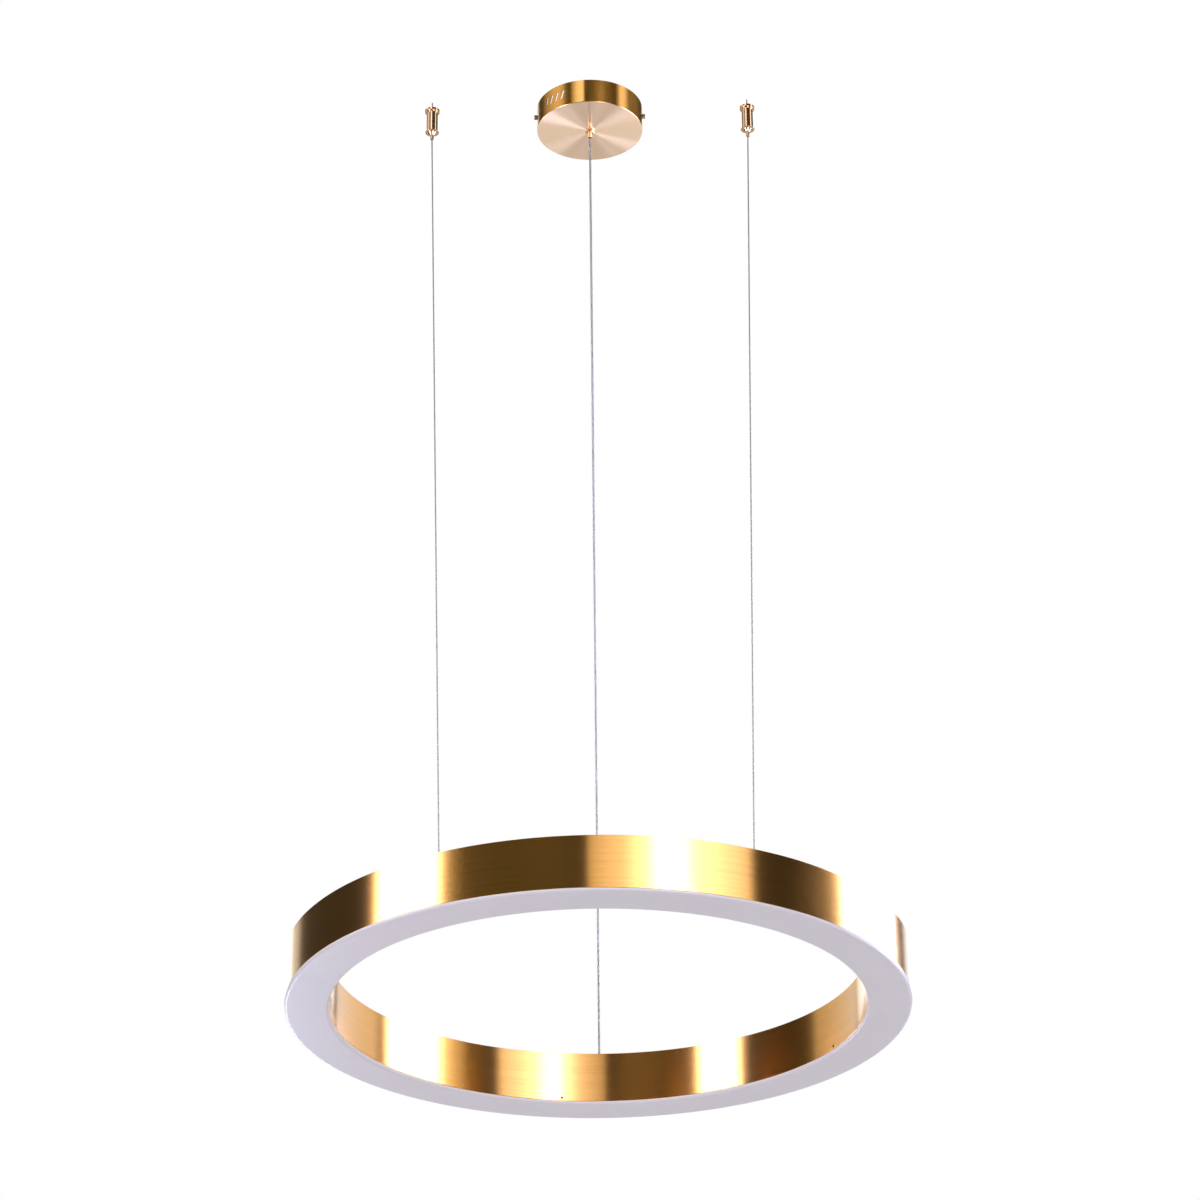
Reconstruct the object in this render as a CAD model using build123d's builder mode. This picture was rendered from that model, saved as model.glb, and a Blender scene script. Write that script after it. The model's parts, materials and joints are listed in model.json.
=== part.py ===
"""LED ring chandelier: one light ring hung on three thin cables from the ceiling.

Sizes are in millimetres.  The origin lies on the ceiling, in the middle of the canopy.
+Z is up, so the lamp hangs below z = 0, and -Y is the side that faces the viewer.
Angles round the lamp are counted from -Y, and grow towards +X.
"""

import os
from math import cos, radians, sin, sqrt

from build123d import *

os.makedirs("parts", exist_ok=True)

# --- Driving dimensions -------------------------------------------------------------------

# Light ring
ring_radius = 400.0  # outer face of the outer wall
section_width = 57.0  # outer wall's outer face to inner wall's inner face
wall_height = 68.0
wall_thickness = 2.0
plate_thickness = 2.0
weld_gap = 0.1  # between the top plate and the walls
ring_drop = 1305.0  # ceiling to the top of the ring
wall_cut = 4.0  # depth of a cut through a thin wall

# Diffuser tray
lip_height = 5.0  # what shows below the walls
lip_rounding = 4.4
tray_floor = 3.0
tray_flange = 2.2
tray_flange_height = 20.0
tray_gap = 0.3  # under the walls
flange_gap = 1.0  # between the flanges and the walls
tray_screws = 5
tray_screw_first = 44.5  # angle of the first screw
tray_screw_rise = 4.2  # screw axis above the wall's lower edge
tray_screw_radius = 1.9
tray_screw_recess = 0.3
tray_screw_gap = 0.4  # tip to flange
hex_socket_radius = 1.0
hex_socket_depth = 1.0

# Light board and its carrier
carrier_drop = 20.0  # top plate to carrier
carrier_thickness = 2.0
carrier_gap = 2.5  # carrier to walls
board_width = 30.0
board_thickness = 1.2
chips = 72
chip_size = 5.0
chip_height = 0.9
posts = 6
post_first = 15.0
post_radius = 3.0

# Ceiling canopy
canopy_radius = 75.0
canopy_height = 37.0
canopy_wall = 1.2
canopy_rounding = 0.8
rim_gap = 0.5  # ceiling to the canopy's rim
vents = 4
vent_length = 14.0
vent_width = 3.2
vent_middle = -42.3  # angle of the middle of the row
vent_step = 7.6
vent_lean = 19.0  # tops lean towards the viewer's right
vent_depth = 18.0  # ceiling to the middle of a vent

# Bracket that holds the canopy
bracket_width = 24.0
bracket_thickness = 2.0
bracket_gap = 0.8  # corner of an ear to the canopy wall
bracket_bend = 1.0
ear_depth = 20.0
fixing_spacing = 90.0
fixing_radius = 2.6
supply_hole_radius = 7.0

# Thumb screws that clamp the canopy to the bracket
thumb_depth = 13.5  # ceiling to the screw's axis
thumb_thread_radius = 2.0
thumb_head_radius = 3.4
thumb_head_height = 4.0
thumb_head_chamfer = 0.5
thumb_seat_gap = 0.1
thumb_tip = 5.0  # past the ear's inner face

# Earthing screw on the bracket
earth_place = 28.0
earth_thread_radius = 2.0
earth_head_radius = 4.0
earth_head_height = 2.6
earth_head_rounding = 0.9

# Things inside the canopy
driver_length = 92.0
driver_width = 32.0
driver_height = 20.0
driver_place = 34.0
driver_rounding = 2.0
driver_chamfer = 1.0
block_length = 28.0
block_width = 18.0
block_height = 14.0
block_place = -41.0
block_ways = 3
block_screw_radius = 2.2
block_screw_depth = 5.0
block_entry_radius = 1.6
block_entry_depth = 6.0
block_entry_height = 4.7  # canopy's floor to the middle of an entry
lead_radius = 2.3
lead_bend = 5.75

# Cord gland under the canopy
gland_flats = 11.0
gland_flange = 3.0
gland_chamfer = 0.5
gland_thread_radius = 4.0
gland_thread_length = 10.0
gland_nipple_radius = 3.2
gland_nut_flats = 14.0
gland_nut_height = 4.0
gland_hole_gap = 0.2

# Cables
pivot_depth = 50.0  # ceiling to the line on which all three cables turn
mouth_gap = 0.8  # cable mouth to that line
rope_radius = 1.0
cord_radius = 1.5
bore_gap = 0.4  # round a cable in its bore
rope_tail = 13.0  # end of a rope past the ceiling line
side_anchor_angle = 31.0
cord_anchor_angle = 180.0

# Cable grippers beside the canopy
gripper_place = 225.0
cap_radius = 10.5
cap_thickness = 3.5
cap_chamfer = 0.35
cap_spigot = 5.0
cap_screw_place = 3.6
cap_screw_radius = 1.4
barrel_radius = 8.0
barrel_wall = 2.0
barrel_length = 33.5
collar_radius = 9.75
collar_thickness = 0.8
collar_spigot = 5.0
cone_radius = 6.2
cone_height = 4.4
cone_tip_radius = 3.4
plunger_radius = 2.6
plunger_stop_radius = 4.4
plunger_stop = 1.0
plunger_travel = 3.0
running_gap = 0.05
thread_gap = 0.05
chuck_height = 8.0
chuck_narrow = 3.2
chuck_wide = 4.8
jaw_height = 4.5
jaw_gap = 0.3
jaw_sink = 3.0  # jaw's lower end above the chuck's
spring_wall = 0.9

# Cable anchors on the ring
anchor_flange_radius = 6.0
anchor_flange = 2.0
anchor_radius = 3.6
anchor_height = 8.0
anchor_dome = 1.0
anchor_socket = 3.5
anchor_thread_radius = 3.0
anchor_thread_length = 6.5
anchor_hole_gap = 0.1
anchor_nut_flats = 10.0
anchor_nut_height = 4.0

# Wiring inside the ring
plug_length = 24.0
plug_width = 14.0
plug_height = 9.0
plug_place = 28.0  # its near end, sideways from the cord anchor
plug_rounding = 1.0
inner_lead_radius = 1.2
inner_lead_bend = 4.0

# --- Worked out ---------------------------------------------------------------------------

ring_inner_radius = ring_radius - section_width
mid_radius = ring_radius - section_width / 2
outer_wall_inside = ring_radius - wall_thickness
inner_wall_outside = ring_inner_radius + wall_thickness
ring_top = -ring_drop
plate_bottom = ring_top - plate_thickness
wall_bottom = ring_top - wall_height
lip_top = wall_bottom - tray_gap
ring_bottom = lip_top - lip_height
flange_top = lip_top + tray_flange_height
carrier_top = plate_bottom - carrier_drop
carrier_bottom = carrier_top - carrier_thickness

canopy_inside = canopy_radius - canopy_wall
canopy_bottom = -rim_gap - canopy_height
canopy_floor = canopy_bottom + canopy_wall
ear_outside = sqrt((canopy_inside - bracket_gap) ** 2 - (bracket_width / 2) ** 2)
ear_inside = ear_outside - bracket_thickness

pivot = -pivot_depth
mouth = pivot + mouth_gap
gland_flange_bottom = canopy_bottom - gland_flange

barrel_inside = barrel_radius - barrel_wall
barrel_top = -cap_thickness
barrel_bottom = barrel_top - barrel_length
cap_spigot_bottom = barrel_top - cap_spigot
collar_bottom = barrel_bottom - collar_thickness
collar_top = barrel_bottom + collar_spigot
stop_bottom = collar_top + running_gap
stop_top = stop_bottom + plunger_stop
chuck_bottom = stop_top + plunger_travel + running_gap
chuck_top = chuck_bottom + chuck_height
chuck_slope = (chuck_wide - chuck_narrow) / chuck_height
jaw_bottom = chuck_bottom + jaw_sink
jaw_top = jaw_bottom + jaw_height
jaw_narrow = chuck_narrow + jaw_sink * chuck_slope - jaw_gap
jaw_wide = jaw_narrow + jaw_height * chuck_slope

anchor_top = ring_top + anchor_flange + anchor_height
anchor_thread_bottom = plate_bottom - anchor_thread_length


def around(radius, angle, z=0.0):
    """Point at an angle round the lamp's upright axis, counted from -Y towards +X."""
    return Vector(radius * sin(radians(angle)), -radius * cos(radians(angle)), z)


def wall_plane(radius, angle, z):
    """Plane that touches an upright round wall from outside, with its Y axis upwards."""
    outward = around(1, angle)
    sideways = around(1, angle + 90)
    return Plane(origin=around(radius, angle, z), x_dir=sideways, z_dir=outward)


def save(builder, name):
    """Label a finished piece and write it to a file of its own."""
    builder.part.label = name
    export_step(builder.part, f"parts/{name}.step")


# Each cable: where it turns, where it enters its anchor, and its radius.
cables = {
    "left": (Vector(-gripper_place, 0, pivot), around(mid_radius, -side_anchor_angle, anchor_top), rope_radius),
    "right": (Vector(gripper_place, 0, pivot), around(mid_radius, side_anchor_angle, anchor_top), rope_radius),
    "centre": (Vector(0, 0, pivot), around(mid_radius, cord_anchor_angle, anchor_top), cord_radius),
}


# --- Canopy -------------------------------------------------------------------------------

with BuildPart() as canopy_cup:
    with BuildSketch(Plane.XY.offset(canopy_bottom)):
        Circle(canopy_radius)
    extrude(amount=canopy_height)
    fillet(canopy_cup.edges().sort_by(Axis.Z)[0], canopy_rounding)
    with BuildSketch(Plane.XY.offset(canopy_floor)):
        Circle(canopy_inside)
    extrude(amount=canopy_height, mode=Mode.SUBTRACT)
    with BuildSketch(Plane.XY.offset(canopy_bottom)):
        Circle(gland_thread_radius + gland_hole_gap)
    extrude(amount=canopy_wall, mode=Mode.SUBTRACT)
    with BuildSketch(Plane.YZ):
        with Locations((0, -thumb_depth)):
            Circle(thumb_thread_radius + gland_hole_gap)
    extrude(amount=canopy_radius, both=True, mode=Mode.SUBTRACT)
    for vent in range(vents):
        angle = vent_middle + (vent - (vents - 1) / 2) * vent_step
        with BuildSketch(wall_plane(canopy_radius, angle, -vent_depth)):
            SlotOverall(vent_length, vent_width, rotation=90 - vent_lean)
        extrude(amount=-wall_cut, mode=Mode.SUBTRACT)
save(canopy_cup, "canopy_cup")

with BuildPart() as ceiling_bracket:
    with BuildSketch(Plane.XZ):
        with BuildLine():
            Polyline(
                (-ear_outside, -ear_depth),
                (-ear_outside, 0),
                (ear_outside, 0),
                (ear_outside, -ear_depth),
                (ear_inside, -ear_depth),
                (ear_inside, -bracket_thickness),
                (-ear_inside, -bracket_thickness),
                (-ear_inside, -ear_depth),
                close=True,
            )
        make_face()
    extrude(amount=bracket_width / 2, both=True)
    fillet(ceiling_bracket.edges().filter_by(Axis.Y).group_by(Axis.Z)[-1], bracket_bend)
    with Locations((-fixing_spacing / 2, 0, 0), (fixing_spacing / 2, 0, 0)):
        Hole(fixing_radius, depth=bracket_thickness)
    Hole(supply_hole_radius, depth=bracket_thickness)
    with Locations((earth_place, 0, 0)):
        Hole(earth_thread_radius + thread_gap, depth=bracket_thickness)
    with BuildSketch(Plane.YZ):
        with Locations((0, -thumb_depth)):
            Circle(thumb_thread_radius + thread_gap)
    extrude(amount=ear_outside, both=True, mode=Mode.SUBTRACT)
save(ceiling_bracket, "ceiling_bracket")

with BuildPart() as earth_screw:
    with BuildSketch(Plane.XY.offset(-bracket_thickness)):
        with Locations((earth_place, 0)):
            Circle(earth_head_radius)
    extrude(amount=-earth_head_height)
    fillet(earth_screw.edges().sort_by(Axis.Z)[0], earth_head_rounding)
    with BuildSketch(Plane.XY.offset(-bracket_thickness)):
        with Locations((earth_place, 0)):
            Circle(earth_thread_radius)
    extrude(amount=bracket_thickness - thread_gap)
save(earth_screw, "earth_screw")


def thumb_screw(side):
    """Hand-turned screw through the canopy wall into a bracket ear, +1 right or -1 left."""
    head_seat = side * (canopy_radius + thumb_seat_gap)
    shank = canopy_radius + thumb_seat_gap - ear_inside + thumb_tip
    with BuildPart() as screw:
        with BuildSketch(Plane.YZ.offset(head_seat)):
            with Locations((0, -thumb_depth)):
                Circle(thumb_head_radius)
        extrude(amount=side * thumb_head_height)
        chamfer(screw.edges().filter_by(GeomType.CIRCLE), thumb_head_chamfer)
        with BuildSketch(Plane.YZ.offset(head_seat)):
            with Locations((0, -thumb_depth)):
                Circle(thumb_thread_radius)
        extrude(amount=-side * shank)
    return screw


save(thumb_screw(-1), "thumb_screw_left")
save(thumb_screw(1), "thumb_screw_right")

with BuildPart() as led_driver:
    with BuildSketch(Plane.XY.offset(canopy_floor)):
        with Locations((0, driver_place)):
            RectangleRounded(driver_length, driver_width, driver_rounding)
    extrude(amount=driver_height)
    chamfer(led_driver.faces().sort_by(Axis.Z)[-1].edges(), driver_chamfer)
save(led_driver, "led_driver")

with BuildPart() as terminal_block:
    with BuildSketch(Plane.XY.offset(canopy_floor)):
        with Locations((0, block_place)):
            Rectangle(block_length, block_width)
    extrude(amount=block_height)
    with BuildSketch(Plane.XY.offset(canopy_floor + block_height)):
        with Locations((0, block_place)):
            with GridLocations(block_length / block_ways, 0, block_ways, 1):
                Circle(block_screw_radius)
    extrude(amount=-block_screw_depth, mode=Mode.SUBTRACT)
    with BuildSketch(Plane.XZ.offset(-(block_place + block_width / 2))):
        with Locations((0, canopy_floor + block_entry_height)):
            with GridLocations(block_length / block_ways, 0, block_ways, 1):
                Circle(block_entry_radius)
    extrude(amount=block_entry_depth, mode=Mode.SUBTRACT)
save(terminal_block, "terminal_block")


def lead(points, bend, radius):
    """Round lead along straight runs that are joined by arcs."""
    with BuildPart() as wire:
        with BuildLine() as route:
            FilletPolyline(*points, radius=bend)
        start = Plane(origin=route.line @ 0, z_dir=route.line % 0)
        with BuildSketch(start):
            Circle(radius)
        sweep()
    return wire


lead_level = canopy_floor + driver_height / 2
lead_reach = (driver_length / 2 + ear_inside) / 2

save(
    lead(
        [
            (block_length / 2, block_place, canopy_floor + block_height / 2),
            (driver_length / 2, block_place, canopy_floor + block_height / 2),
            (lead_reach, block_place / 2, lead_level),
            (lead_reach, driver_place, lead_level),
            (driver_length / 2, driver_place, lead_level),
        ],
        lead_bend,
        lead_radius,
    ),
    "supply_lead",
)

# --- Cord gland and the cord's end inside the canopy --------------------------------------

with BuildPart() as cord_gland:
    with BuildSketch(Plane.XY.offset(canopy_bottom)):
        RegularPolygon(gland_flats / 2, 6, major_radius=False)
    extrude(amount=-gland_flange)
    chamfer(cord_gland.faces().sort_by(Axis.Z)[0].edges(), gland_chamfer)
    with BuildSketch(Plane.XY.offset(gland_flange_bottom)):
        Circle(gland_nipple_radius)
    extrude(amount=mouth - gland_flange_bottom)
    with BuildSketch(Plane.XY.offset(canopy_bottom)):
        Circle(gland_thread_radius)
    extrude(amount=gland_thread_length)
    with BuildSketch(Plane.XY.offset(mouth)):
        Circle(cord_radius + bore_gap)
    extrude(amount=pivot_depth, mode=Mode.SUBTRACT)
save(cord_gland, "cord_gland")

with BuildPart() as gland_nut:
    with BuildSketch(Plane.XY.offset(canopy_floor)):
        RegularPolygon(gland_nut_flats / 2, 6, major_radius=False)
        Circle(gland_thread_radius + thread_gap, mode=Mode.SUBTRACT)
    extrude(amount=gland_nut_height)
save(gland_nut, "gland_nut")

save(
    lead(
        [
            (0, 0, mouth),
            (0, 0, lead_level + lead_bend),
            (-lead_reach, 0, lead_level + lead_bend),
            (-lead_reach, driver_place, lead_level),
            (-driver_length / 2, driver_place, lead_level),
        ],
        lead_bend,
        cord_radius,
    ),
    "cord_tail",
)

# --- Cables -------------------------------------------------------------------------------


def hanging_cable(turn, anchor, radius):
    """Straight taut cable from the line it turns on, into the socket of its anchor."""
    along = (anchor - turn).normalized()
    length = (anchor - turn).length + anchor_socket
    with BuildPart() as cable:
        with BuildSketch(Plane(origin=turn, z_dir=along)):
            Circle(radius)
        extrude(amount=length)
    return cable


for place, (turn, anchor, radius) in cables.items():
    save(hanging_cable(turn, anchor, radius), f"cable_{place}")

# --- Cable grippers -----------------------------------------------------------------------


def gripper_cap(x):
    """Disc that is screwed to the ceiling, with a spigot that the barrel screws on to."""
    with BuildPart() as cap:
        with BuildSketch(Plane.XY):
            with Locations((x, 0)):
                Circle(cap_radius)
        extrude(amount=-cap_thickness)
        chamfer(cap.edges(), cap_chamfer)
        with BuildSketch(Plane.XY.offset(barrel_top)):
            with Locations((x, 0)):
                Circle(barrel_inside - thread_gap)
        extrude(amount=-cap_spigot)
        with BuildSketch(Plane.XY):
            with Locations((x, 0)):
                Circle(rope_radius + bore_gap)
                with GridLocations(2 * cap_screw_place, 0, 2, 1):
                    Circle(cap_screw_radius)
        extrude(amount=-cap_thickness - cap_spigot, mode=Mode.SUBTRACT)
    return cap


def gripper_barrel(x):
    """Plain polished tube."""
    with BuildPart() as barrel:
        with BuildSketch(Plane.XY.offset(barrel_top)):
            with Locations((x, 0)):
                Circle(barrel_radius)
                Circle(barrel_inside, mode=Mode.SUBTRACT)
        extrude(amount=-barrel_length)
    return barrel


def turned(x, outline):
    """Piece turned about the upright axis at x; the outline is a list of (radius, z)."""
    with BuildPart() as piece:
        with BuildSketch(Plane.XZ.shift_origin((x, 0, 0))):
            with BuildLine():
                Polyline(*outline, close=True)
            make_face()
        revolve(axis=Axis((x, 0, 0), (0, 0, 1)))
    return piece


def gripper_collar(x):
    """Lower end of the barrel: spigot, thin flange and cone, bored for the plunger."""
    bore = plunger_radius + running_gap
    return turned(
        x,
        [
            (bore, collar_top),
            (barrel_inside - thread_gap, collar_top),
            (barrel_inside - thread_gap, barrel_bottom),
            (collar_radius, barrel_bottom),
            (collar_radius, collar_bottom),
            (cone_radius, collar_bottom),
            (cone_tip_radius, collar_bottom - cone_height),
            (bore, collar_bottom - cone_height),
        ],
    )


def gripper_plunger(x):
    """Nozzle that is pushed up to free the rope, with a stop that rests on the collar."""
    bore = rope_radius + bore_gap
    return turned(
        x,
        [
            (bore, mouth),
            (plunger_radius, mouth),
            (plunger_radius, stop_bottom),
            (plunger_stop_radius, stop_bottom),
            (plunger_stop_radius, stop_top),
            (plunger_radius, stop_top),
            (plunger_radius, jaw_bottom),
            (bore, jaw_bottom),
        ],
    )


def gripper_chuck(x):
    """Fixed ring with a bore that narrows downwards, so that a pull wedges the jaw."""
    return turned(
        x,
        [
            (chuck_narrow, chuck_bottom),
            (barrel_inside - thread_gap, chuck_bottom),
            (barrel_inside - thread_gap, chuck_top),
            (chuck_wide, chuck_top),
        ],
    )


def gripper_jaw(x):
    """Cone on top of the plunger that grips the rope inside the chuck."""
    bore = rope_radius + bore_gap
    return turned(x, [(bore, jaw_bottom), (jaw_narrow, jaw_bottom), (jaw_wide, jaw_top), (bore, jaw_top)])


def gripper_spring(x):
    """Coil spring between the jaw and the cap, as a sleeve of its own size."""
    outside = jaw_wide
    inside = outside - spring_wall
    return turned(
        x,
        [(inside, jaw_top), (outside, jaw_top), (outside, cap_spigot_bottom), (inside, cap_spigot_bottom)],
    )


def rope_end(x):
    """Straight end of a rope, held in the gripper and past the ceiling line."""
    with BuildPart() as rope:
        with BuildSketch(Plane.XY.offset(mouth)):
            with Locations((x, 0)):
                Circle(rope_radius)
        extrude(amount=rope_tail - mouth)
    return rope


for side, x in (("left", -gripper_place), ("right", gripper_place)):
    save(gripper_cap(x), f"gripper_cap_{side}")
    save(gripper_barrel(x), f"gripper_barrel_{side}")
    save(gripper_collar(x), f"gripper_collar_{side}")
    save(gripper_plunger(x), f"gripper_plunger_{side}")
    save(gripper_chuck(x), f"gripper_chuck_{side}")
    save(gripper_jaw(x), f"gripper_jaw_{side}")
    save(gripper_spring(x), f"gripper_spring_{side}")
    save(rope_end(x), f"rope_end_{side}")

# --- Light ring ---------------------------------------------------------------------------

with BuildPart() as outer_wall:
    with BuildSketch(Plane.XY.offset(ring_top)):
        Circle(ring_radius)
        Circle(outer_wall_inside, mode=Mode.SUBTRACT)
    extrude(amount=-wall_height)
save(outer_wall, "outer_wall")

with BuildPart() as inner_wall:
    with BuildSketch(Plane.XY.offset(ring_top)):
        Circle(inner_wall_outside)
        Circle(ring_inner_radius, mode=Mode.SUBTRACT)
    extrude(amount=-wall_height)
    for number in range(tray_screws):
        angle = tray_screw_first + number * 360 / tray_screws
        with BuildSketch(wall_plane(inner_wall_outside, angle, wall_bottom + tray_screw_rise)):
            Circle(tray_screw_radius + thread_gap)
        extrude(amount=-wall_cut, mode=Mode.SUBTRACT)
save(inner_wall, "inner_wall")

with BuildPart() as top_plate:
    with BuildSketch(Plane.XY.offset(ring_top)):
        Circle(outer_wall_inside - weld_gap)
        Circle(inner_wall_outside + weld_gap, mode=Mode.SUBTRACT)
        for _, anchor, _ in cables.values():
            with Locations((anchor.X, anchor.Y)):
                Circle(anchor_thread_radius + anchor_hole_gap, mode=Mode.SUBTRACT)
    extrude(amount=-plate_thickness)
save(top_plate, "top_plate")

with BuildPart() as board_carrier:
    with BuildSketch(Plane.XY.offset(carrier_top)):
        Circle(outer_wall_inside - carrier_gap)
        Circle(inner_wall_outside + carrier_gap, mode=Mode.SUBTRACT)
    extrude(amount=-carrier_thickness)
save(board_carrier, "board_carrier")

for number in range(posts):
    post_axis = around(mid_radius, post_first + number * 360 / posts, plate_bottom)
    with BuildPart() as carrier_post:
        with BuildSketch(Plane(origin=post_axis)):
            Circle(post_radius)
        extrude(amount=-carrier_drop)
    save(carrier_post, f"carrier_post_{number + 1}")

with BuildPart() as light_board:
    with BuildSketch(Plane.XY.offset(carrier_bottom)):
        Circle(mid_radius + board_width / 2)
        Circle(mid_radius - board_width / 2, mode=Mode.SUBTRACT)
    extrude(amount=-board_thickness)
    with BuildSketch(Plane.XY.offset(carrier_bottom - board_thickness)):
        with PolarLocations(mid_radius, chips):
            Rectangle(chip_size, chip_size)
    extrude(amount=-chip_height)
save(light_board, "light_board")

for number in range(tray_screws):
    angle = tray_screw_first + number * 360 / tray_screws
    height = wall_bottom + tray_screw_rise
    head = ring_inner_radius + tray_screw_recess
    tip = inner_wall_outside + flange_gap - tray_screw_gap
    with BuildPart() as tray_screw:
        with BuildSketch(wall_plane(head, angle, height)):
            Circle(tray_screw_radius)
        extrude(amount=tip - head)
        with BuildSketch(wall_plane(head, angle, height)):
            RegularPolygon(hex_socket_radius, 6)
        extrude(amount=hex_socket_depth, mode=Mode.SUBTRACT)
    save(tray_screw, f"tray_screw_{number + 1}")

# --- Diffuser -----------------------------------------------------------------------------

flange_outside = outer_wall_inside - flange_gap
flange_inside = inner_wall_outside + flange_gap
floor_top = ring_bottom + tray_floor

with BuildPart() as diffuser_tray:
    with BuildSketch(Plane.XZ):
        with BuildLine():
            Polyline(
                (ring_radius, ring_bottom),
                (ring_radius, lip_top),
                (flange_outside, lip_top),
                (flange_outside, flange_top),
                (flange_outside - tray_flange, flange_top),
                (flange_outside - tray_flange, floor_top),
                (flange_inside + tray_flange, floor_top),
                (flange_inside + tray_flange, flange_top),
                (flange_inside, flange_top),
                (flange_inside, lip_top),
                (ring_inner_radius, lip_top),
                (ring_inner_radius, ring_bottom),
                close=True,
            )
        section = make_face()
        fillet(section.vertices().group_by(Axis.Y)[0], lip_rounding)
    revolve(axis=Axis.Z)
save(diffuser_tray, "diffuser_tray")

# --- Cable anchors ------------------------------------------------------------------------

for place, (turn, anchor, radius) in cables.items():
    along = (anchor - turn).normalized()
    with BuildPart() as anchor_body:
        with BuildSketch(Plane(origin=(anchor.X, anchor.Y, ring_top))):
            Circle(anchor_flange_radius)
        extrude(amount=anchor_flange)
        with BuildSketch(Plane(origin=(anchor.X, anchor.Y, ring_top + anchor_flange))):
            Circle(anchor_radius)
        extrude(amount=anchor_height)
        chamfer(anchor_body.edges().sort_by(Axis.Z)[-1], anchor_dome)
        with BuildSketch(Plane(origin=(anchor.X, anchor.Y, ring_top))):
            Circle(anchor_thread_radius)
        extrude(amount=-plate_thickness - anchor_thread_length)
        with BuildSketch(Plane(origin=anchor + along * anchor_socket, z_dir=-along)):
            Circle(radius + running_gap)
        extrude(amount=anchor_height, mode=Mode.SUBTRACT)
        if place == "centre":
            with BuildSketch(Plane(origin=(anchor.X, anchor.Y, anchor_thread_bottom))):
                Circle(inner_lead_radius + running_gap)
            extrude(amount=anchor_thread_length, mode=Mode.SUBTRACT)
    save(anchor_body, f"anchor_{place}")

    with BuildPart() as anchor_nut:
        with BuildSketch(Plane(origin=(anchor.X, anchor.Y, plate_bottom))):
            RegularPolygon(anchor_nut_flats / 2, 6, major_radius=False)
            Circle(anchor_thread_radius + thread_gap, mode=Mode.SUBTRACT)
        extrude(amount=-anchor_nut_height)
    save(anchor_nut, f"anchor_nut_{place}")

# --- Wiring inside the ring ---------------------------------------------------------------

plug_y = cables["centre"][1].Y

with BuildPart() as ring_plug:
    with BuildSketch(Plane.XY.offset(carrier_top)):
        with Locations((plug_place + plug_length / 2, plug_y)):
            RectangleRounded(plug_length, plug_width, plug_rounding)
    extrude(amount=plug_height)
save(ring_plug, "ring_plug")

save(
    lead(
        [
            (0, plug_y, plate_bottom - running_gap),
            (0, plug_y, carrier_top + plug_height / 2),
            (plug_place, plug_y, carrier_top + plug_height / 2),
        ],
        inner_lead_bend,
        inner_lead_radius,
    ),
    "ring_lead",
)
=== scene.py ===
"""Ring chandelier in brushed brass, dressed over its packed model and in the same frame.

Sizes are in metres.  The origin is on the ceiling in the middle of the canopy, +Z is up
and -Y is the viewer's side.
"""

import json
from math import atan2, cos, pi, radians, sin

import bmesh
import bpy
from mathutils import Matrix, Vector


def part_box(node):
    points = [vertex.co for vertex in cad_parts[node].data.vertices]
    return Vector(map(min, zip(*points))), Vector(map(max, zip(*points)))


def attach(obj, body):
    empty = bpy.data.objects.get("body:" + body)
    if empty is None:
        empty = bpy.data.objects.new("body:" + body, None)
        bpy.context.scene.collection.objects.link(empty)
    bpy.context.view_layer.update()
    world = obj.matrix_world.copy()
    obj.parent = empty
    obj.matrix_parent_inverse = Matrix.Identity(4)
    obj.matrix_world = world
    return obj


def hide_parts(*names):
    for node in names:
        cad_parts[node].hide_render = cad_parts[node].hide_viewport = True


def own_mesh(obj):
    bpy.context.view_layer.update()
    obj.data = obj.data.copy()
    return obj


bl_info = {
    "name": "Ring Chandelier",
    "version": (1, 0, 0),
    "blender": (4, 5, 0),
    "location": "3D View > Sidebar > Chandelier",
    "description": "Builds the visible pieces, finishes and studio of a brushed brass ring chandelier",
    "category": "Object",
}

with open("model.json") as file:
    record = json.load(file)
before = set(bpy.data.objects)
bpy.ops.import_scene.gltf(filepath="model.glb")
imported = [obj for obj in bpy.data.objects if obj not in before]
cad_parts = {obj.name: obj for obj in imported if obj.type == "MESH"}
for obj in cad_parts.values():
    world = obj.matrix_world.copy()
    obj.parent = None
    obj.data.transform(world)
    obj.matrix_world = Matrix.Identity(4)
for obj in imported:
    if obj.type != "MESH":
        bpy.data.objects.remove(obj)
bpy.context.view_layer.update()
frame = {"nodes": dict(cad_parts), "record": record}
nodes = frame["nodes"]

SIDES = (("left", -1), ("right", 1))
TINY = 1e-6
GRIPPER_STEPS = 72
CANOPY_STEPS = 240
BORE_STEPS = 32


def reach(node, axis=0):
    """Half of a node's size along an axis, at rest."""
    low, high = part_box(node)
    return (high[axis] - low[axis]) / 2


def level(node, end):
    """Height of a node's lower end (0) or upper end (1), at rest."""
    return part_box(node)[end].z


def middle(node):
    """Middle of a node's box, at rest."""
    low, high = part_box(node)
    return (low + high) / 2


# --- Sizes and colours ----------------------------------------------------------------------


def metres(name, description, default, low, high):
    """Length that the user may change."""
    return bpy.props.FloatProperty(
        name=name, description=description, default=default, min=low, max=high, unit="LENGTH"
    )


def angle_setting(name, description, default, low, high):
    """Angle in radians that the user may change."""
    return bpy.props.FloatProperty(
        name=name, description=description, default=default, min=low, max=high, subtype="ANGLE"
    )


def whole(name, description, default, low, high):
    """Whole number that the user may change."""
    return bpy.props.IntProperty(name=name, description=description, default=default, min=low, max=high)


def colour(name, description, default):
    """Colour that the user may change."""
    return bpy.props.FloatVectorProperty(
        name=name, description=description, default=default, min=0, max=1, size=3, subtype="COLOR"
    )


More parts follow.
